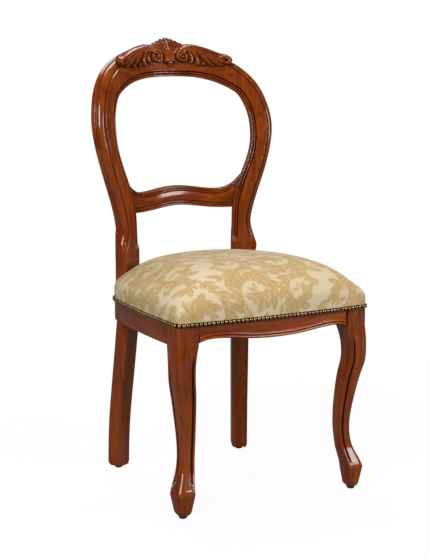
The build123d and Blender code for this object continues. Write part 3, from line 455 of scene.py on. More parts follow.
def smoothed(values, sigma):
    """Gaussian blur along the second axis, in steps, with the two ends held."""
    reach = int(3 * sigma)
    weights = np.exp(-0.5 * (np.arange(-reach, reach + 1) / sigma) ** 2)
    weights /= weights.sum()
    padded = np.pad(values, ((0, 0), (reach, reach), (0, 0)), "reflect", reflect_type="odd")
    count = values.shape[1]
    return sum(weight * padded[:, index:index + count] for index, weight in enumerate(weights))


# Scrolling-leaf pattern, in millimetres of flat cloth
REPEAT_ACROSS = 230.0
REPEAT_ALONG = 260.0
SCROLLS = [
    # middle, first angle, turn in degrees, first and last radius, leaflets, their length
    ((72, 78), 250, -390, 64, 8, 17, 46),
    ((172, 66), 60, 340, 44, 8, 12, 38),
    ((122, 150), 200, 260, 26, 6, 7, 28),
    ((82, 256), 330, -300, 30, 5, 9, 32),
    ((74, 84), 60, -300, 22, 5, 6, 24),
    ((172, 70), 250, 280, 15, 4, 5, 18),
    ((224, 120), 280, -250, 27, 5, 7, 34),
]
LEAF_FADE = 9.0  # depth of a leaf over which its field runs from 0.5 to 1
STEM = 0.125  # half width of a scroll's stem, to its first radius
LEAF_WIDTH = 0.24  # half width of a leaflet, to its length


def leaflet(root, ahead, away, size):
    """A leaflet that leaves its stem and sweeps ahead: its middle line and half widths."""
    step = np.linspace(0, 1, 18)
    sweep = (0.60 * step + 0.25 * step**2)[:, None] * ahead
    rise = (0.70 * step - 0.30 * step**2)[:, None] * away
    return root + size * (sweep + rise), size * LEAF_WIDTH * np.sin(pi * (0.14 + 0.85 * step)) ** 0.8


def scroll_strokes(middle, first, turn, start, end, leaflets, length):
    """Stem of a scroll and the leaflets along both its sides: (line, half widths) pairs."""
    share = np.linspace(0, 1, 60)
    angle = np.radians(first + turn * share)
    radius = start + (end - start) * share**0.8
    stem = polar(middle, radius, angle)
    strokes = [(stem, STEM * start * (0.35 + 0.75 * np.sin(pi * share**0.8)))]
    for index in range(leaflets):
        place = (index + 0.5) / leaflets
        spot = int(place**1.25 * 59)
        away = np.array([cos(angle[spot]), sin(angle[spot])])
        ahead = np.sign(turn) * np.array([-away[1], away[0]])
        size = length * (0.5 + 0.5 * sin(pi * (0.18 + 0.62 * place))) * (0.86 + 0.14 * (-1) ** index)
        strokes.append(leaflet(stem[spot], ahead, away, size))
        if index % 2 and radius[spot] > 22:
            strokes.append(leaflet(stem[spot], ahead, -away, 0.55 * size))
    return strokes


def repeated(line):
    """Copies of a line near one repeat: upright and turned over, up and down, in the half-dropped columns."""
    for drop, turned, column in product((-2, -1, 0, 1), (0, 1), (-1, 0, 1)):
        place = [(column + turned) * REPEAT_ACROSS, (drop + turned + 0.5 * abs(column)) * REPEAT_ALONG]
        yield (1 - 2 * turned) * line + place


def leaf_field(points):
    """Depth of each point inside the nearest leaf, negative outside, and its share towards the vein."""
    column = np.floor(points[:, 0] / REPEAT_ACROSS)
    along = (points[:, 1] + column % 2 * REPEAT_ALONG / 2) % REPEAT_ALONG
    folded = columns(points[:, 0] - column * REPEAT_ACROSS, along)
    field = np.full(len(points), -30.0)
    vein = np.zeros(len(points))
    strokes = [stroke for scroll in SCROLLS for stroke in scroll_strokes(*scroll)]
    for line, width in strokes:
        for moved in repeated(line):
            low, high = moved.min(0) - 30, moved.max(0) + 30
            near = np.flatnonzero(((folded > low) & (folded < high)).all(1))
            if not len(near):
                continue
            gap = np.linalg.norm(folded[near, None] - moved[None], axis=2)
            inside = width - gap
            better = inside.max(1) > field[near]
            chosen = near[better]
            field[chosen] = inside.max(1)[better]
            broad = np.maximum(width[inside.argmax(1)], 0.5)
            vein[chosen] = (1 - gap.min(1) / broad)[better]
    return field, vein


# Seat cushion
TUCK_GAP = 0.0015  # cover, from the legs that it is tucked in round
FOLD_HEIGHT = 0.034  # of the fold at each front corner, above the trim
FOLD_DEPTH = 0.0022
FOLD_LIP = 0.0012  # rise of the cloth beside the fold
PUCKER_DEPTH = 0.00035
PUCKER_PITCH = 0.0188


def cover_rows(outline, normal, tuck, hem, middle):
    """Lines of the cover from the hem, up the side and in to the crown."""
    rim = crown_height(outline[:, 0], outline[:, 1])
    level = hem[:, None] + (rim - hem)[:, None] * np.linspace(0, 1, 24, endpoint=False)
    full = COVER_GROW + SIDE_SWELL * np.clip((level - TRIM_HEIGHT - SWELL_START) / SWELL_RISE, 0, 1)
    full = full * (1 - tuck[:, None])
    side = outline[:, None] + normal[:, None] * full[..., None]
    share = np.linspace(1, 0, 90) ** 1.05
    foot = outline + normal * full[:, -1:]
    top = middle + (foot - middle)[:, None] * share[None, :, None]
    height = crown_height(top[..., 0], top[..., 1])
    rows = np.dstack([np.concatenate([side, top], 1), np.concatenate([level, height], 1)])
    spread = np.linspace(0, 1, ACROSS) ** 0.92
    return smoothed(np.array([evened(row, row, spread)[0] for row in rows]), COVER_EASE)


def make_cushion(material):
    """Closed skin of the stuffing: from the deck out to the hem, up the sides and in to the crown."""
    outline, normal, tuck, along = seat_outline()
    middle = np.array([0.0, SEAT_MIDDLE + SHIFT])
    hem = COVER_HEM + tuck * (RAIL_TOP + TUCK_GAP - COVER_HEM)
    rows = cover_rows(outline, normal, tuck, hem, middle)
    gather(rows, along, normal)
    inner = outline + normal * (0.0003 - REBATE * (1 - tuck) - TUCK_GAP * tuck)[:, None]
    low = columns(inner, hem)
    deck = columns(inner, np.full(AROUND, DECK))
    rings = np.stack([deck, low, *rows[:, :-1].swapaxes(0, 1)])
    vertices = np.vstack([rings.reshape(-1, 3), rows[:, -1].mean(0), [*middle, DECK]])
    crown, bottom = len(vertices) - 2, len(vertices) - 1
    faces = wrapped(len(rings), AROUND)
    faces += fan(range(crown - AROUND, crown), crown) + fan(range(AROUND)[::-1], bottom)
    cushion = mesh_object("seat_cushion", vertices, faces, material)
    weave(cushion.data, rows, middle)
    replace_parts(cushion, "seat_cover", "seat_wadding", "seat_foam")


def gather(rows, along, normal):
    """A tucked fold at each front corner and the small puckers that the nails draw in."""
    low = np.clip(1 - (rows[..., 2] - TRIM_HEIGHT) / FOLD_HEIGHT, 0, 1)
    corner = SEAT_HALF_FRONT - 0.012, SEAT_FRONT + SHIFT + 0.001
    away = np.hypot(np.abs(rows[..., 0]) - corner[0], rows[..., 1] - corner[1])
    crease = -FOLD_DEPTH * np.exp(-(away / 0.0026) ** 2) + FOLD_LIP * np.exp(-((away - 0.0055) / 0.003) ** 2)
    pucker = PUCKER_DEPTH * np.cos(2 * pi * along / PUCKER_PITCH)[:, None]
    near = np.exp(-np.clip(rows[..., 2] - TRIM_HEIGHT, 0, 1) / 0.007) * (rows[..., 2] < 0.45)
    rows[..., :2] += (crease * low + pucker * near)[..., None] * normal[:, None]


def weave(mesh, rows, middle):
    """Flat-cloth coordinates along each line from the crown to the hem, for the pattern and the threads."""
    steps = np.linalg.norm(np.diff(rows[:, ::-1], axis=1), axis=2)
    length = np.concatenate([np.zeros((AROUND, 1)), np.cumsum(steps, 1)], 1)[:, ::-1]
    way = rows[:, 0, :2] - middle
    way = way / np.linalg.norm(way, axis=1)[:, None]
    cover = (length[:, :-1, None] * way[:, None]).swapaxes(0, 1).reshape(-1, 2)
    flat = np.vstack([np.zeros((2 * AROUND, 2)), cover, np.zeros((2, 2))])
    origin = [REPEAT_ACROSS / 2, 40]
    chunks = [leaf_field(part * 1000 + origin) for part in np.array_split(flat, 9)]
    depth, vein = (np.concatenate(column) for column in zip(*chunks))
    set_attribute(mesh, "leaf", np.clip(0.5 + depth / (2 * LEAF_FADE), 0, 1))
    set_attribute(mesh, "vein", np.clip(vein, 0, 1))
    corners = np.empty(len(mesh.loops), dtype=np.int32)
    mesh.loops.foreach_get("vertex_index", corners)
    mesh.uv_layers.new(name="cloth").data.foreach_set("uv", flat[corners].ravel())


# Nail heads
NAIL_SIDES = 16
NAIL_APEX = 0.0043
NAIL_TILT = 0.03
NAIL_PROFILE = [
    # height and radius
    (0.0, 0.0040), (0.0008, 0.0042), (0.0018, 0.0040), (0.0028, 0.0033), (0.0036, 0.0023), (0.0041, 0.0012),
]


def nail_places(node):
    """Base centre and outward direction of every nail in a frame node."""
    shape = joined_mesh(node)
    left = set(shape.faces)
    places = []
    for face in shape.faces:
        if face not in left:
            continue
        island, waiting = {face}, [face]
        while waiting:
            around = {other for edge in waiting.pop().edges for other in edge.link_faces} - island
            island |= around
            waiting += around
        left -= island
        outward = -max(island, key=lambda one: one.calc_area()).normal
        vertices = {vertex for one in island for vertex in one.verts}
        depth = min(vertex.co.dot(outward) for vertex in vertices)
        middle = sum((vertex.co for vertex in vertices), Vector()) / len(vertices)
        places.append((middle + outward * (depth - middle.dot(outward)), outward.copy()))
    shape.free()
    return places


def make_nails(name, node, material):
    """Domed heads with a thin rim, each turned a little differently."""
    vertices, faces = [], []
    upward = Vector((0, 0, 1))
    angles = [2 * pi * step / NAIL_SIDES for step in range(NAIL_SIDES)]
    random = np.random.default_rng(7)
    for spot, outward in nail_places(node):
        sideways = upward.cross(outward).normalized()
        axis = (outward + Vector(random.normal(0, NAIL_TILT, 3))).normalized()
        start = len(vertices)
        for rise, radius in NAIL_PROFILE:
            ring = [sideways * cos(angle) + upward * sin(angle) for angle in angles]
            vertices += [spot + axis * rise + way * radius for way in ring]
        tip = len(vertices)
        vertices.append(spot + axis * NAIL_APEX)
        faces += wrapped(len(NAIL_PROFILE), NAIL_SIDES, start) + fan(range(tip - NAIL_SIDES, tip), tip)
        faces.append(range(start, start + NAIL_SIDES)[::-1])
    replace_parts(mesh_object(name, vertices, faces, material), node)


# Moulded members, in millimetres: the frame's own outlines with finer sections
STILE_THICK = 34.0
STILE_FOOT = 496.0
WAIST_HEIGHT = 552.0
WIDEST_HEIGHT = 752.0
WAIST_SET = 32.0
WIDEST_SET = 83.0
STILE_WIDTH = 43.0
EAR_SET = 44.5
EAR_START = 432.0
EAR_END = 490.0
RAIL_BOTTOM = 358.0
FLOOR_GAP = 6.0  # glides, under the feet
FOOT_IN = -10.0
FOOT_WIDTH = 37.0
LEG_WIDTH = 41.0  # rear leg, under the rails
SPLAY = 32.0  # rear foot, behind the leg at the seat
CREST_ARCH = 875.0
CREST_DROP = 37.0
CREST_TOP = 945.0
CREST_SHOULDER = 903.0
JOINT_STRETCH = 1.18
STILE_TURN = [
    # inner and outer edge above the widest place: how far in, and the share of the rise
    (54, 0.21, 5, 0.29), (65.5, 0.41, 20, 0.56), (77, 0.523, 43, 0.79),
]
CREST_STEPS = 60  # rings in half of the crest
STILE_STEPS = 180  # rings in a stile
BEND_EASE = 8.0  # rings over which the bends of the back are eased
EASE_RISE = 60.0  # height above the waist over which that sets in


def spline(rows, steps):
    """Smooth curve through rows of values, at even steps."""
    rows = np.array(rows, float)
    count = len(rows)
    system = np.eye(count)
    pull = np.zeros_like(rows)
    for row in range(1, count - 1):
        system[row, row - 1:row + 2] = (1, 4, 1)
        pull[row] = 6 * (rows[row - 1] - 2 * rows[row] + rows[row + 1])
    bend = np.linalg.solve(system, pull)
    place = np.linspace(0, count - 1, steps + 1)
    first = np.minimum(place.astype(int), count - 2)
    t = (place - first)[:, None]
    curve = rows[first] * (1 - t) + rows[first + 1] * t
    return curve + (((1 - t) ** 3 - 1 + t) * bend[first] + (t**3 - t) * bend[first + 1]) / 6


def loft_piece(name, rings, wood, node, mirror=False, glued=()):
    """Closed skin over a row of rings, in millimetres; the edges at its glued rings stay crisp."""
    rings = np.array(rings) * 0.001
    rings[..., 1] += SHIFT
    if mirror:
        rings[..., 0] *= -1
    count, sides = rings.shape[:2]
    faces = wrapped(count, sides) + [range(sides)[::-1], range((count - 1) * sides, count * sides)]
    piece = mesh_object(name, rings.reshape(-1, 3), faces, wood[node])
    shape = bmesh.new()
    shape.from_mesh(piece.data)
    bmesh.ops.recalc_face_normals(shape, faces=shape.faces)
    shape.to_mesh(piece.data)
    shape.free()
    piece.data.set_sharp_from_angle(angle=radians(30))
    joint = np.zeros((count, sides))
    joint[list(glued)] = 1.0
    set_attribute(piece.data, "joint", joint.ravel())
    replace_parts(piece, node)


def shrunk(ring, inset):
    """Ring drawn in towards its middle."""
    middle = ring.mean(0)
    reach = np.abs(ring - middle)[:, :2].max()
    return middle + (ring - middle) * (1 - inset / reach)


def footed(ring, inset, rise):
    """Ring drawn in where the lower end of a foot is rounded over a rise."""
    return shrunk(ring, inset * max(0, 1 - (ring[0, 2] - FLOOR_GAP) / rise) ** 2)


def rounded(middle, radius, first, last, count=8):
    """Round stretch of a section, (across, depth), between two angles; 90 degrees faces the front."""
    return polar(middle, radius, -np.radians(np.linspace(first, last, count)))


def back_section(width, stretch=1.0, cut=1.0, draw_in=0.0):
    """Section of the back, (across, depth): two reeds inside, a hollow face and a roll outside.

    The mouldings fade into a plain bar as cut falls to 0; the outer side may draw in at the rear.
    """
    rear = STILE_THICK
    inner_side = np.vstack([[(2, rear), (0, rear - 2), (0, 13.0)], rounded((3.3, 7.4), 3.3, 190, 130)])
    reeds = np.vstack([
        rounded((3.3, 7.4), 3.3, 115, 35), [(6.5, 7.4)],
        rounded((9.3, 5.6), 2.5, 160, 20), [(12.2, 6.2), (12.9, 1.2)],
    ])
    swell = np.radians(np.linspace(4, 90, 14))
    quarter = columns(10.6 - 10.2 * np.sin(swell), 17.4 - 12.4 * np.cos(swell))
    roll = np.vstack([[(13.6, 0.3), (12.9, -0.5), (12.0, -0.1), (11.5, 1.2), (11.2, 6.4)], quarter])
    outer_side = np.vstack([
        [(2.8, 19.4)], rounded((3.0, 24.0), 3.0, 115, 245, 12), [(1.6, 28.0), (0, rear - 2), (2, rear)],
    ])
    for part in (reeds, roll):
        part[:, 0] *= stretch
    hollow = np.linspace(13.8 * stretch, width - 13.4 * stretch, 12)
    face = columns(hollow, 0.7 * np.sin(pi * np.linspace(0, 1, 12)))
    roll[:, 0] = width - roll[:, 0]
    outer_side[:, 0] = width - outer_side[:, 0]
    mouldings = np.vstack([inner_side, reeds, face, roll, outer_side])
    inside, outside = len(inner_side), len(mouldings) - len(outer_side)
    plain = mouldings.copy()
    chamfer = np.where(plain[:, 1] > rear - 1, 2.0, 0.0)
    plain[:inside, 0] = chamfer[:inside]
    plain[inside:outside, 1] = 0
    plain[outside:, 0] = width - chamfer[outside:]
    section = plain + (mouldings - plain) * cut
    section[outside:, 0] -= draw_in * section[outside:, 1] / rear
    return section


def back_ring(section, turn, start, end, sweep=0.0):
    """Section set between its inner and outer outline points, each (along, z), on the leaning back."""
    share = section[:, 0] / np.hypot(end[0] - start[0], end[1] - start[1])
    z = start[1] + (end[1] - start[1]) * share
    along = start[0] + (end[0] - start[0]) * share
    middle = (start[1] + end[1]) / 2
    rate = (lean(middle / 1000 + 0.001) - lean(middle / 1000)) / 0.001
    reach = 1000 * (BACK_RADIUS + lean(middle / 1000)) + rate * (z - middle) + section[:, 1] + sweep
    return columns(*swung(turn, along, reach, 1000 * BACK_AXIS), z)


def crest_edges(share):
    low = CREST_ARCH - CREST_DROP * abs(share) ** 3
    return low, CREST_TOP - (CREST_TOP - CREST_SHOULDER) * share**2


def stile_edges():
    """Inner and outer outline of the right stile, (along, z) each, from the plinth to the crest joint."""
    rise = WIDEST_HEIGHT - WAIST_HEIGHT
    crown = CREST_SHOULDER - WIDEST_HEIGHT
    swell = WIDEST_SET - WAIST_SET
    leg_in = 1000 * LEG_IN
    waist_in = WAIST_SET - STILE_WIDTH
    foot_middle = (STILE_FOOT + WAIST_HEIGHT) / 2
    low, high = WAIST_HEIGHT + 0.26 * rise, WAIST_HEIGHT + 0.64 * rise
    rows = [
        (leg_in, STILE_FOOT, EAR_SET, STILE_FOOT),
        (0.6 * leg_in + 0.4 * waist_in, foot_middle, 0.35 * EAR_SET + 0.65 * WAIST_SET, foot_middle),
        (waist_in, WAIST_HEIGHT, WAIST_SET, WAIST_HEIGHT),
        (waist_in + 0.13 * swell, low + 10, WAIST_SET + 0.24 * swell, low),
        (waist_in + 0.73 * swell, high + 16, WAIST_SET + 0.73 * swell, high),
        (WIDEST_SET - 50, WIDEST_HEIGHT - 3, WIDEST_SET, WIDEST_HEIGHT),
    ]
    for inner, low, outer, high in STILE_TURN:
        low, high = WIDEST_HEIGHT + low * crown, WIDEST_HEIGHT + high * crown
        rows.append((WIDEST_SET - inner, low, WIDEST_SET - outer, high))
    for along, share in ((0, 1), (-20, 0.85)):
        low, high = crest_edges(share)
        rows.append((along, low, along, high))
    fine = 64  # steps between two rows; the last row only guides the curve
    edges = spline(rows, fine * (len(rows) - 1))[:-fine]
    return evened(edges, edges, np.linspace(0, 1, STILE_STEPS))[0]


def rear_leg_rings():
    """Rear leg from the foot to the seat, its plinth, and the moulded stile above it."""
    leg_in, leg_out = 1000 * LEG_IN, 1000 * LEG_OUT
    rings = []
    path = [
        # height, share of the way in, share of the splay
        (FLOOR_GAP, 0.0, 1.0), (0.3 * RAIL_BOTTOM, 0.2, 0.88),
        (0.62 * RAIL_BOTTOM, 0.6, 0.5), (RAIL_BOTTOM, 1.0, 0.02),
    ]
    for z, share, swept in spline(path, 60):
        inside = FOOT_IN + (leg_in - FOOT_IN) * share
        width = FOOT_WIDTH + (LEG_WIDTH - FOOT_WIDTH) * share
        ring = back_ring(back_section(width, cut=0), TURN, (inside, z), (inside + width, z), SPLAY * swept)
        rings.append(footed(ring, inset=6, rise=9))
    for z in np.linspace(RAIL_BOTTOM + 1, STILE_FOOT - 1, 24):
        ear = leg_out + (EAR_SET - leg_out) * np.clip((z - EAR_START) / (EAR_END - EAR_START), 0, 1)
        section = back_section(ear - leg_in, cut=0, draw_in=ear - leg_out)
        rings.append(back_ring(section, TURN, (leg_in, z), (ear, z)))
    return rings + list(back_run()[CREST_STEPS:][::-1])


def stile_ring(start_x, start_z, end_x, end_z):
    width = np.hypot(end_x - start_x, end_z - start_z)
    joint = np.clip((start_z - WIDEST_HEIGHT) / (crest_edges(1)[0] - WIDEST_HEIGHT), 0, 1)
    cut = np.clip((start_z - STILE_FOOT - 4) / 16, 0, 1)
    draw_in = max(0, end_x - 1000 * LEG_OUT) if end_z < WAIST_HEIGHT else 0
    section = back_section(width, 1 + (JOINT_STRETCH - 1) * joint**2, cut, draw_in)
    return back_ring(section, TURN, (start_x, start_z), (end_x, end_z))


def crest_ring(share):
    low, high = crest_edges(share)
    section = back_section(high - low, 1 + (JOINT_STRETCH - 1) * share**2)
    return back_ring(section, TURN * share, (0, low), (0, high))


def back_run():
    """Rings from the middle of the crest to the right joint and down the stile, its bends eased."""
    beyond = CREST_STEPS // 2
    shares = np.arange(-beyond, CREST_STEPS) / CREST_STEPS
    rings = [crest_ring(share) for share in shares] + [stile_ring(*edges) for edges in stile_edges()[::-1]]
    rings = np.array(rings)
    eased = smoothed(rings.swapaxes(0, 1), BEND_EASE).swapaxes(0, 1)
    above = np.clip((rings[..., 2].mean(1) - WAIST_HEIGHT) / EASE_RISE, 0, 1)[:, None, None]
    return (rings + (eased - rings) * above)[beyond:]


def crest_rings():
    half = back_run()[:CREST_STEPS + 1]
    return np.concatenate([(half * [-1, 1, 1])[:0:-1], half])


CROSS_TOP = [
    (0, 631.0), (60, 624.5), (92, 621.8), (112, 625.2), (128, 635.0),
    (137, 645.5), (144, 654), (152, 660), (162, 663),
]
CROSS_BOTTOM = [(0, 588.0), (84, 579.5), (175, 582.0)]
CROSS_SET_BACK = 10.0
CROSS_THICK = 20.0
CROSS_TURN = 30.5  # degrees to each side
CROSS_STEPS = 216
CROSS_FULL = 26.0  # height below which its reeds are narrower
CROSS_REEDS = 12.0  # width of a pair of reeds
CROSS_FACE = 2.6  # depth of the face beside the reeds
CROSS_SWELL = 1.2


def edge_height(points, x):
    """Height at x of a symmetric edge whose right half is given by a few points."""
    curve = spline([(-across, z) for across, z in points[:0:-1]] + points, 200)
    return np.interp(x, curve[:, 0], curve[:, 1])


def reeded_edge(wide):
    """Pair of reeds along an edge, (from the edge, depth), drawn to a share of their width."""
    edge = np.vstack([
        [(1.5, CROSS_THICK), (0, CROSS_THICK - 1.5), (0, 6.0)], rounded((3.0, 3.2), 3.0, 195, 35),
        [(5.8, 4.0)], rounded((8.0, 2.9), 2.2, 160, 20), [(10.6, 4.0)],
    ])
    return edge * [wide, 1]


def cross_rail_rings():
    rings = []
    for turn in np.radians(np.linspace(-CROSS_TURN, CROSS_TURN, CROSS_STEPS)):
        x = (1000 * BACK_RADIUS + CROSS_SET_BACK + 5) * sin(turn)
        low, high = edge_height(CROSS_BOTTOM, x), edge_height(CROSS_TOP, x)
        wide = min(1.0, (high - low) / CROSS_FULL)
        lower, upper = reeded_edge(wide), reeded_edge(wide)[::-1]
        face = np.linspace(low + CROSS_REEDS * wide, high - CROSS_REEDS * wide, 8)
        swell = CROSS_FACE - CROSS_SWELL * np.sin(pi * np.linspace(0, 1, 8))
        z = np.concatenate([low + lower[:, 0], face, high - upper[:, 0]])
        depth = np.concatenate([lower[:, 1], swell, upper[:, 1]])
        reach = 1000 * (BACK_RADIUS + lean(z / 1000)) + CROSS_SET_BACK + depth
        rings.append(columns(*swung(turn, 0, reach, 1000 * BACK_AXIS), z))
    return rings


TOE_HEIGHT = 50.0
TOE_SIZE = 40.0
TOE_LOW = 26.0  # its size at the floor
ANKLE_SET_IN = 23.0
POST_SIZE = 49.0
POST_SHRINK = 4.0  # of the post behind the trim
FOOT_INSET = 21.0
GROOVE_DEPTH = 5.2
REAR_ROUND = 3.2  # of the front leg's other three corners


def leg_path():
    """Height, outward shift along the diagonal and side of the front leg's section, from knee to toe."""
    tall = RAIL_BOTTOM - TOE_HEIGHT
    stations = [
        (1.0, sqrt(2) * (FOOT_INSET - POST_SIZE / 2), POST_SIZE), (0.92, 0.2, 45.0), (0.84, 2.0, 43.0),
        (0.755, 0.4, 42.2), (0.665, -0.32 * ANKLE_SET_IN, 40.2),
        (0.5, -0.76 * ANKLE_SET_IN, 35.2), (0.325, -1.03 * ANKLE_SET_IN, 30.0),
        (0.2, -0.93 * ANKLE_SET_IN, 29.0),
        (0.12, -0.65 * ANKLE_SET_IN, 31.9), (0.045, -0.2 * ANKLE_SET_IN, 37.1), (0.0, 0.0, TOE_SIZE),
    ]
    return spline([(TOE_HEIGHT + share * tall, shift, size) for share, shift, size in stations], 110)


def leg_ring(z, shift, size, groove=0.0):
    """Section of the right front leg: round outer corner, a hollow beside a reed in each outer face."""
    x = 1000 * SEAT_HALF_FRONT - FOOT_INSET + shift * sqrt(0.5)
    y = 1000 * SEAT_FRONT + FOOT_INSET - shift * sqrt(0.5)
    half = size / 2
    round_off = 1000 * POST_ROUND / POST_SIZE * size
    turns = np.linspace(0, pi / 2, 14)
    corner = columns(half - round_off * (1 - np.sin(turns)), round_off * (1 - np.cos(turns)) - half)
    across = np.linspace(-3.0, 3.0, 13)
    deep = groove * np.cos(across / 3.0 * pi / 2) ** 0.5
    side = columns(half - 1.25 * deep, half - 9.0 + 1.5 * across)
    centre = half - REAR_ROUND
    rear = polar((centre, centre), REAR_ROUND, np.linspace(0, pi / 2, 6))
    front = columns(across + 8.0 - half, deep - half)
    section = np.vstack([corner, side, rear, rear[:, ::-1] * [-1, 1], -rear, front])
    return columns(x + section[:, 0], y + section[:, 1], np.full(len(section), z))


def front_leg_rings():
    path = leg_path()
    rings = [shrunk(leg_ring(z, path[0, 1], POST_SIZE), POST_SHRINK) for z in (1000 * RAIL_TOP, LIP_LOW)]
    rings += [leg_ring(z, path[0, 1], POST_SIZE) for z in np.linspace(LIP_LOW, RAIL_BOTTOM + 3, 12)]
    for z, shift, size in path:
        fall = (RAIL_BOTTOM - z) / (RAIL_BOTTOM - TOE_HEIGHT)
        groove = GROOVE_DEPTH * np.clip(min(14 * (fall - 0.05), 22 * (0.97 - fall)), 0, 1)
        rings.append(leg_ring(z, shift, size, groove))
    for z in np.linspace(TOE_HEIGHT - 1.5, FLOOR_GAP, 16):
        share = (z - FLOOR_GAP) / (TOE_HEIGHT - FLOOR_GAP)
        ring = leg_ring(z, -1.5 * (1 - share), TOE_LOW + (TOE_SIZE - TOE_LOW) * share)
        rings.append(footed(ring, inset=5, rise=8))
    return rings


APRON = [(0, 360.0), (59.4, 362.3), (120.6, 368.6), (160.2, 368.1), (180, 361.8)]
LIP_LOW = 397.8
FRONT_SET_BACK = 6.0
FRONT_RAIL_DEPTH = 30.0


def front_rail_rings():
    """Bowed front rail with a lip for the trim and two reeds along its serpentine lower edge."""
    half = 1000 * SEAT_HALF_FRONT - POST_SIZE
    rebate, top = 1000 * REBATE, 1000 * RAIL_TOP
    rings = []
    for x in np.linspace(-half, half, 160):
        low = edge_height(APRON, x)
        proud = np.clip((half - abs(x)) / 9, 0, 1) ** 0.5
        reeds = np.vstack([
            [(0, 9.0)], rounded((3.3, 3.6), 3.3, 190, 40), [(6.3, 4.4)],
            rounded((9.0, 3.3), 2.5, 160, 20), [(11.9, FRONT_SET_BACK)],
        ])
        reeds[:, 1] = FRONT_SET_BACK + (reeds[:, 1] - FRONT_SET_BACK) * proud
        height = np.concatenate([low + reeds[:, 0], [LIP_LOW, LIP_LOW, top, top, low]])
        depth = [FRONT_SET_BACK, rebate, rebate, FRONT_RAIL_DEPTH, FRONT_RAIL_DEPTH]
        depth = np.concatenate([reeds[:, 1], depth])
        face = 1000 * (SEAT_FRONT - FRONT_BOW * (1 - (x / half) ** 2))
        y = np.where(depth < FRONT_RAIL_DEPTH, face + depth, 1000 * SEAT_FRONT + FRONT_RAIL_DEPTH)
        rings.append(columns(np.full(len(y), x), y, height))
    return rings


def make_members(wood):
    for side, mirror in (("right", False), ("left", True)):
        loft_piece(f"stile_{side}", rear_leg_rings(), wood, f"rear_leg_{side}", mirror, (-2, -1))
        loft_piece(f"cabriole_{side}", front_leg_rings(), wood, f"front_leg_{side}", mirror)
    loft_piece("crest_moulding", crest_rings(), wood, "crest_rail", glued=(0, 1, -2, -1))
    loft_piece("cross_moulding", cross_rail_rings(), wood, "back_cross_rail")
    loft_piece("apron_moulding", front_rail_rings(), wood, "front_seat_rail")


# Crest carving: a relief of ridges over the dished face
CARVING_HALF = 0.158
CARVING_LOW = 0.889
CARVING_HIGH = 0.966
CARVING_STEP = 0.0008
CARVING_DEPTH = 0.010  # behind the face of the crest
CARVING_GROUND = 3.4  # least relief, in millimetres
CARVING_RIM = 1.2  # relief of its edge
CARVING_MARGIN = 1.4  # ground round the ridges
VOLUTE = (33.0, 921.0)
VOLUTE_STEPS = 180
RIDGE_STEPS = 130
FAN_TIPS = [(0, 954.5), (10, 952), (20, 948), (30, 943.5), (40, 939.5)]
LEAF_BAND = [(34, 934), (50, 938.5), (72, 934.5), (94, 927.5), (114, 919), (128, 915)]
LEAF_CURL = [(116, 918.5), (130, 917.5), (138, 912.5), (134.5, 905.5), (127, 905)]
HANGING_LEAVES = [
    # middle line and half width
    ([(49, 932), (55, 921), (55, 911), (51, 905)], 4.0),
    ([(54, 934), (65, 923), (68, 911), (67, 901)], 4.8),
    ([(64, 933), (80, 921), (91, 907), (100, 899)], 4.8),
    ([(78, 929), (96, 917), (109, 904), (121, 899.5)], 5.2),
    ([(95, 924), (112, 912), (122, 906), (131, 905)], 4.4),
]


def ridge(line, widths, heights):
    """A carved ridge along a smooth line of points, in millimetres."""
    line = np.array(line, float)
    for _ in range(2):
        near, far = line[:-1], line[1:]
        inner = np.stack([0.75 * near + 0.25 * far, 0.25 * near + 0.75 * far], 1).reshape(-1, 2)
        line = np.vstack([line[:1], inner, line[-1:]])
    x, z, wide, tall = (
        np.interp(np.linspace(0, 1, RIDGE_STEPS), np.linspace(0, 1, len(row)), row)
        for row in (*line.T, widths, heights)
    )
    return columns(x, z), wide, tall


def carving_ridges():
    """Ridges of the right half: fan, husk, volute, band, curled end, hanging leaves and a bead."""
    fan_widths, fan_heights = (2.0, 2.9, 4.8), (9.0, 8.5, 8.0, 6.0)
    lines = [([(0.13 * x, 908), (0.30 * x, 930), (x, z)], fan_widths, fan_heights) for x, z in FAN_TIPS]
    lines += [
        ([(0, 955), (12, 952), (26, 946), (42, 940)], (2.4, 2.4), (4.0, 4.0)),
        ([(0, 914), (0, 907), (0, 899)], (8.0, 7.0, 1.0), (10.5, 11.0, 7.0)),
        ([(5, 914), (11, 911), (12.5, 906)], (3.4, 3.6, 1.4), (9.0, 9.0, 6.0)),
        ([VOLUTE, (VOLUTE[0] + 0.1, VOLUTE[1])], (2.8, 2.8), (11.5, 11.5)),
    ]
    for offset in (4.2, -0.4, -4.6):
        strand = [(x + 0.4 * offset, z + offset) for x, z in LEAF_BAND]
        lines.append((strand, (2.4, 3.0, 3.2, 3.0, 2.6, 2.2), (9.5, 9.5, 9.0, 8.5, 9.0, 10.0)))
    lines.append((LEAF_CURL, (4.0, 5.5, 6.0, 5.0, 3.0), (9.0, 13.0, 15.0, 13.0, 8.0)))
    lines += [(line, (1.8, wide, wide, 0.6 * wide), (7.0, 8.5, 9.5, 8.0)) for line, wide in HANGING_LEAVES]
    lines.append(([(80, 902), (80.1, 902)], (4.6, 4.6), (9.5, 9.5)))
    turns = np.radians(np.linspace(75, 675, VOLUTE_STEPS))
    reach = np.linspace(14.0, 3.0, VOLUTE_STEPS)
    wide, tall = np.linspace(4.2, 2.6, VOLUTE_STEPS), np.linspace(10.5, 9.5, VOLUTE_STEPS)
    volute = (polar(VOLUTE, reach, turns), wide, tall)
    return [ridge(*line) for line in lines] + [volute]


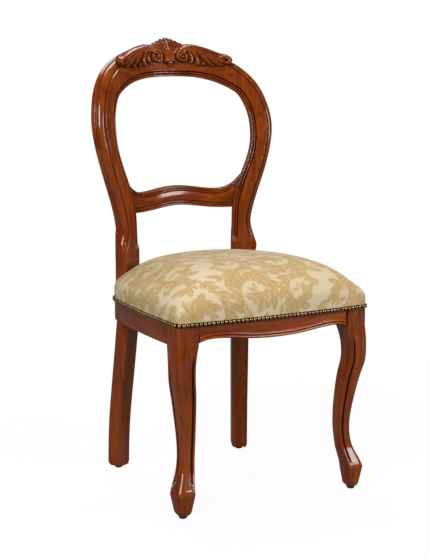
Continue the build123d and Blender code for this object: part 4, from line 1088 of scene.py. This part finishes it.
def relief(x, z, ridges):
    """Height of the carving and how far each point lies inside its outline, in millimetres."""
    points = columns(np.abs(x), z)
    height = np.zeros(len(points))
    inside = np.full(len(points), -20.0)
    for path, wide, tall in ridges:
        gap = np.linalg.norm(points[:, None] - path[None], axis=2)
        nearest = (gap - wide[None]).argmin(1)
        away = gap[np.arange(len(points)), nearest]
        half = wide[nearest]
        bulge = tall[nearest] * np.sqrt(np.clip(1 - (away / half) ** 2, 0, 1)) ** 0.8
        height = np.maximum(height, bulge)
        inside = np.maximum(inside, half - away)
    return np.maximum(height, CARVING_GROUND), inside + CARVING_MARGIN


def make_carving(material):
    ridges = carving_ridges()
    xs = np.arange(-CARVING_HALF, CARVING_HALF + 1e-6, CARVING_STEP)
    zs = np.arange(CARVING_LOW, CARVING_HIGH, CARVING_STEP)
    grid_x, grid_z = np.meshgrid(xs, zs, indexing="ij")
    x, z = grid_x.ravel(), grid_z.ravel()
    height, inside = relief(x * 1000, z * 1000, ridges)
    kept = (inside > 0).reshape(grid_x.shape)
    cells = kept[:-1, :-1] & kept[1:, :-1] & kept[:-1, 1:] & kept[1:, 1:]
    step = len(zs)
    corner = np.arange(len(x)).reshape(grid_x.shape)[:-1, :-1][cells]
    quads = columns(corner, corner + step, corner + step + 1, corner + 1)
    used, compact = np.unique(quads, return_inverse=True)
    quads = compact.reshape(-1, 4)
    x, z, height = x[used], z[used], height[used]
    edges = np.concatenate([quads[:, [i, (i + 1) % 4]] for i in range(4)])
    twins = {tuple(edge) for edge in edges}
    border = [edge for edge in map(tuple, edges) if edge[::-1] not in twins]
    rim = np.unique(np.array(border))
    draw_to_outline(x, z, rim, ridges)
    height[rim] = CARVING_RIM
    face = BACK_RADIUS + lean(z)
    front = np.sqrt((face - height / 1000) ** 2 - x**2) + BACK_AXIS + SHIFT
    rear = np.sqrt((face + CARVING_DEPTH) ** 2 - x**2) + BACK_AXIS + SHIFT
    vertices = np.vstack([columns(x, front, z), columns(x, rear, z)])
    count = len(x)
    sides = [(b, a, a + count, b + count) for a, b in border]
    faces = [*quads, *(quads[:, ::-1] + count), *sides]
    carving = mesh_object("crest_relief", vertices, faces, material)
    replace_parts(carving, "crest_carving")


def draw_to_outline(x, z, rim, ridges):
    """Moves the stepped rim of the grid onto the smooth outline."""
    nudge = 0.1
    for _ in range(3):
        px, pz = x[rim] * 1000, z[rim] * 1000
        value = relief(px, pz, ridges)[1]
        slope_x = (relief(px + nudge, pz, ridges)[1] - value) / nudge
        slope_z = (relief(px, pz + nudge, ridges)[1] - value) / nudge
        steep = np.maximum(slope_x**2 + slope_z**2, 0.2)
        move = np.clip(value, -1.2, 1.2) / steep
        x[rim] -= 0.7 * move * slope_x / 1000
        z[rim] -= 0.7 * move * slope_z / 1000


# Dust cover, a thin cloth that sags a little between its staples
CLOTH_SAG = 0.006


def make_dust_cover(material):
    low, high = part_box("dust_cover")
    shape = joined_mesh("dust_cover")
    others = [face for face in shape.faces if face.normal.z < 0.9]
    bmesh.ops.delete(shape, geom=others, context="FACES")
    bmesh.ops.dissolve_limit(shape, angle_limit=0.01, verts=shape.verts, edges=shape.edges)
    bmesh.ops.triangulate(shape, faces=shape.faces)
    bmesh.ops.subdivide_edges(shape, edges=shape.edges, cuts=12, use_grid_fill=True)
    for vertex in shape.verts:
        if not vertex.is_boundary:
            across = 1 - (vertex.co.x / high[0]) ** 2
            along = 1 - ((2 * vertex.co.y - low[1] - high[1]) / (high[1] - low[1])) ** 2
            vertex.co.z -= CLOTH_SAG * max(across, 0) * max(along, 0)
    shape.verts.index_update()
    vertices = [vertex.co for vertex in shape.verts]
    faces = [[vertex.index for vertex in face.verts] for face in shape.faces]
    cloth = mesh_object("dust_cloth", vertices, faces, material)
    area = sum(face.calc_area() for face in shape.faces)
    shape.free()
    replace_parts(cloth, "dust_cover")


# Materials on the frame's own nodes
GRAIN = {
    "crest_rail": "X", "back_cross_rail": "X", "front_seat_rail": "X", "rear_seat_rail": "X",
    "rear_leg_right": "Z", "rear_leg_left": "Z", "front_leg_right": "Z", "front_leg_left": "Z",
    "side_seat_rail_right": "Y", "side_seat_rail_left": "Y",
}
# Lighter or darker wood for some parts: the crest rail darker; the front seat rail lighter, partly its own
# wood and partly painted light against the shade under the cushion's lip.
TONE_AND_PAINTED_LIGHT = {"front_seat_rail": 1.35, "crest_rail": 0.85}


def dress(node, material):
    mesh = nodes[node].data
    mesh.materials.clear()
    mesh.materials.append(material)


def dress_frame():
    wood = {}
    for seed, (node, grain) in enumerate(GRAIN.items()):
        tone = TONE_AND_PAINTED_LIGHT.get(node, 1.0) + 0.06 * cos(2.4 * seed)
        wood[node] = new_material(f"wood_{node}", lacquered_wood, grain, seed + 1, tone)
        dress(node, wood[node])
    for node in nodes:
        if node.startswith("corner_block_") and node != "corner_block_screws":
            dress(node, new_material(f"wood_{node}", raw_wood, (0.52, 0.36, 0.20)))
        elif node.endswith("_dowels"):
            dress(node, new_material(f"wood_{node}", raw_wood, (0.60, 0.44, 0.26)))
        elif "_glide_" in node:
            dress(node, new_material(f"nylon_{node}", moulded, (0.095, 0.040, 0.018), 0.45))
    jute = new_material("jute", coarse_cloth, (0.36, 0.26, 0.14), 0.0022)
    dress("webbing_lengthwise", jute)
    dress("webbing_crosswise", jute)
    dress("hessian_canvas", new_material("hessian", coarse_cloth, (0.42, 0.31, 0.16), 0.0018))
    dress("corner_block_screws", new_material("plated_steel", moulded, (0.5, 0.5, 0.48), 0.3, 1.0))
    # The trim band is nearly black: partly its own dark colour, partly painted shade in the gaps between and
    # below the nails.
    strip = new_material("trim_strip", antique_brass, (0.024, 0.013, 0.006), (0.006, 0.004, 0.003), 0.5)
    dress("trim_band", strip)
    return wood


# Stage
CAMERA = Vector((-1.6277, -2.8254 + SHIFT, 0.9856))
LOOKS_AT = Vector((-0.0201, -0.0254 + SHIFT, 0.4467))
LENS = 97.64
PALE = (0.93, 0.93, 0.93)
DIM = (0.25, 0.25, 0.25)  # the floor in reflections and bounced light
FLOOR_HALF = 12.0
SURROUND = 0.13  # strength of the world's light
LAMPS = [
    # name, place, target, size and power
    ("key", (-2.3, -1.6, 2.3), (0, 0, 0.5), (1.0, 1.6), 90),
    ("fill", (1.9, -2.6, 1.6), (0, 0, 0.5), (1.0, 1.4), 60),
    ("top", (0.3, 1.2, 2.8), (0, 0, 0.6), (1.6, 1.0), 32),
]


def seen_directly(tree):
    """1 for what the camera sees straight."""
    return add(tree, "LightPath").outputs["Is Camera Ray"]


def show(tree, output, share, plain, seen):
    """Mixes two shaders into an output."""
    mixer = add(tree, "MixShader", {"Fac": share, 1: plain, 2: seen})
    feed(tree, tree.nodes[output], {"Surface": mixer.outputs["Shader"]})


def aim(holder, place, target):
    holder.location = place
    holder.rotation_euler = (Vector(target) - Vector(place)).to_track_quat("-Z", "Y").to_euler()


def studio_floor(tree):
    """Pale to the camera and dim to other rays, with a white glow that grows with the distance."""
    seen = seen_directly(tree)
    glow = add(tree, "Emission", {"Color": (1, 1, 1, 1), "Strength": 1.0}).outputs["Emission"]
    away = add(tree, "VectorMath", {0: add(tree, "TexCoord").outputs["Object"]}, operation="LENGTH")
    white = add(tree, "MapRange", {
        "Value": away.outputs["Value"], "From Min": 0.5, "From Max": 1.4, "To Min": 0.95, "To Max": 1.0,
    }).outputs["Result"]
    share = combine(tree, "MULTIPLY", seen, white)
    show(tree, "Material Output", share, tree.nodes["Principled BSDF"].outputs["BSDF"], glow)
    return {"Base Color": mix_colour(tree, seen, DIM, PALE), "Roughness": 0.9}


def make_floor():
    mesh = bpy.data.meshes.new("floor")
    corners = [(x * FLOOR_HALF, y * FLOOR_HALF, 0) for x, y in ((-1, -1), (1, -1), (1, 1), (-1, 1))]
    mesh.from_pydata(corners, [], [(0, 1, 2, 3)])
    mesh.materials.append(new_material("studio_floor", studio_floor))
    placed("floor", mesh)


def make_world():
    world = bpy.data.worlds.new("studio")
    bpy.context.scene.world = world
    world.use_nodes = True
    tree = world.node_tree
    surround = tree.nodes["Background"]
    feed(tree, surround, {"Color": (1, 1, 1, 1), "Strength": SURROUND})
    white = add(tree, "Background", {"Color": (1, 1, 1, 1), "Strength": 1.0})
    plain, seen = surround.outputs["Background"], white.outputs["Background"]
    show(tree, "World Output", seen_directly(tree), plain, seen)


def softbox(name, place, target, size, power):
    lamp = bpy.data.lights.new(name, "AREA")
    lamp.shape = "RECTANGLE"
    lamp.size, lamp.size_y = size
    lamp.energy = power
    aim(placed(name, lamp), place, target)


def make_camera():
    data = bpy.data.cameras.new("camera")
    data.lens = LENS
    data.sensor_width = 36.0
    camera = placed("camera", data)
    aim(camera, CAMERA, LOOKS_AT)
    bpy.context.scene.camera = camera


make_members(dress_frame())
make_cushion(new_material("damask", damask))
# Nails: bright brass, and a dark brown for their patina and painted shade between them.
brass = new_material("nail_brass", antique_brass, (0.42, 0.28, 0.125), (0.022, 0.012, 0.005), 0.16)
make_nails("nail_heads", "upholstery_nails", brass)
make_nails("nail_heads_rear", "upholstery_nails_rear", brass)
make_carving(new_material("wood_carving", lacquered_wood, "X", 14, 1.0, 0.005))
make_dust_cover(new_material("dust_cloth", coarse_cloth, (0.02, 0.02, 0.02), 0.0009))
make_floor()
make_world()
for lamp in LAMPS:
    softbox(*lamp)
make_camera()
bpy.context.scene.view_settings.view_transform = "Standard"
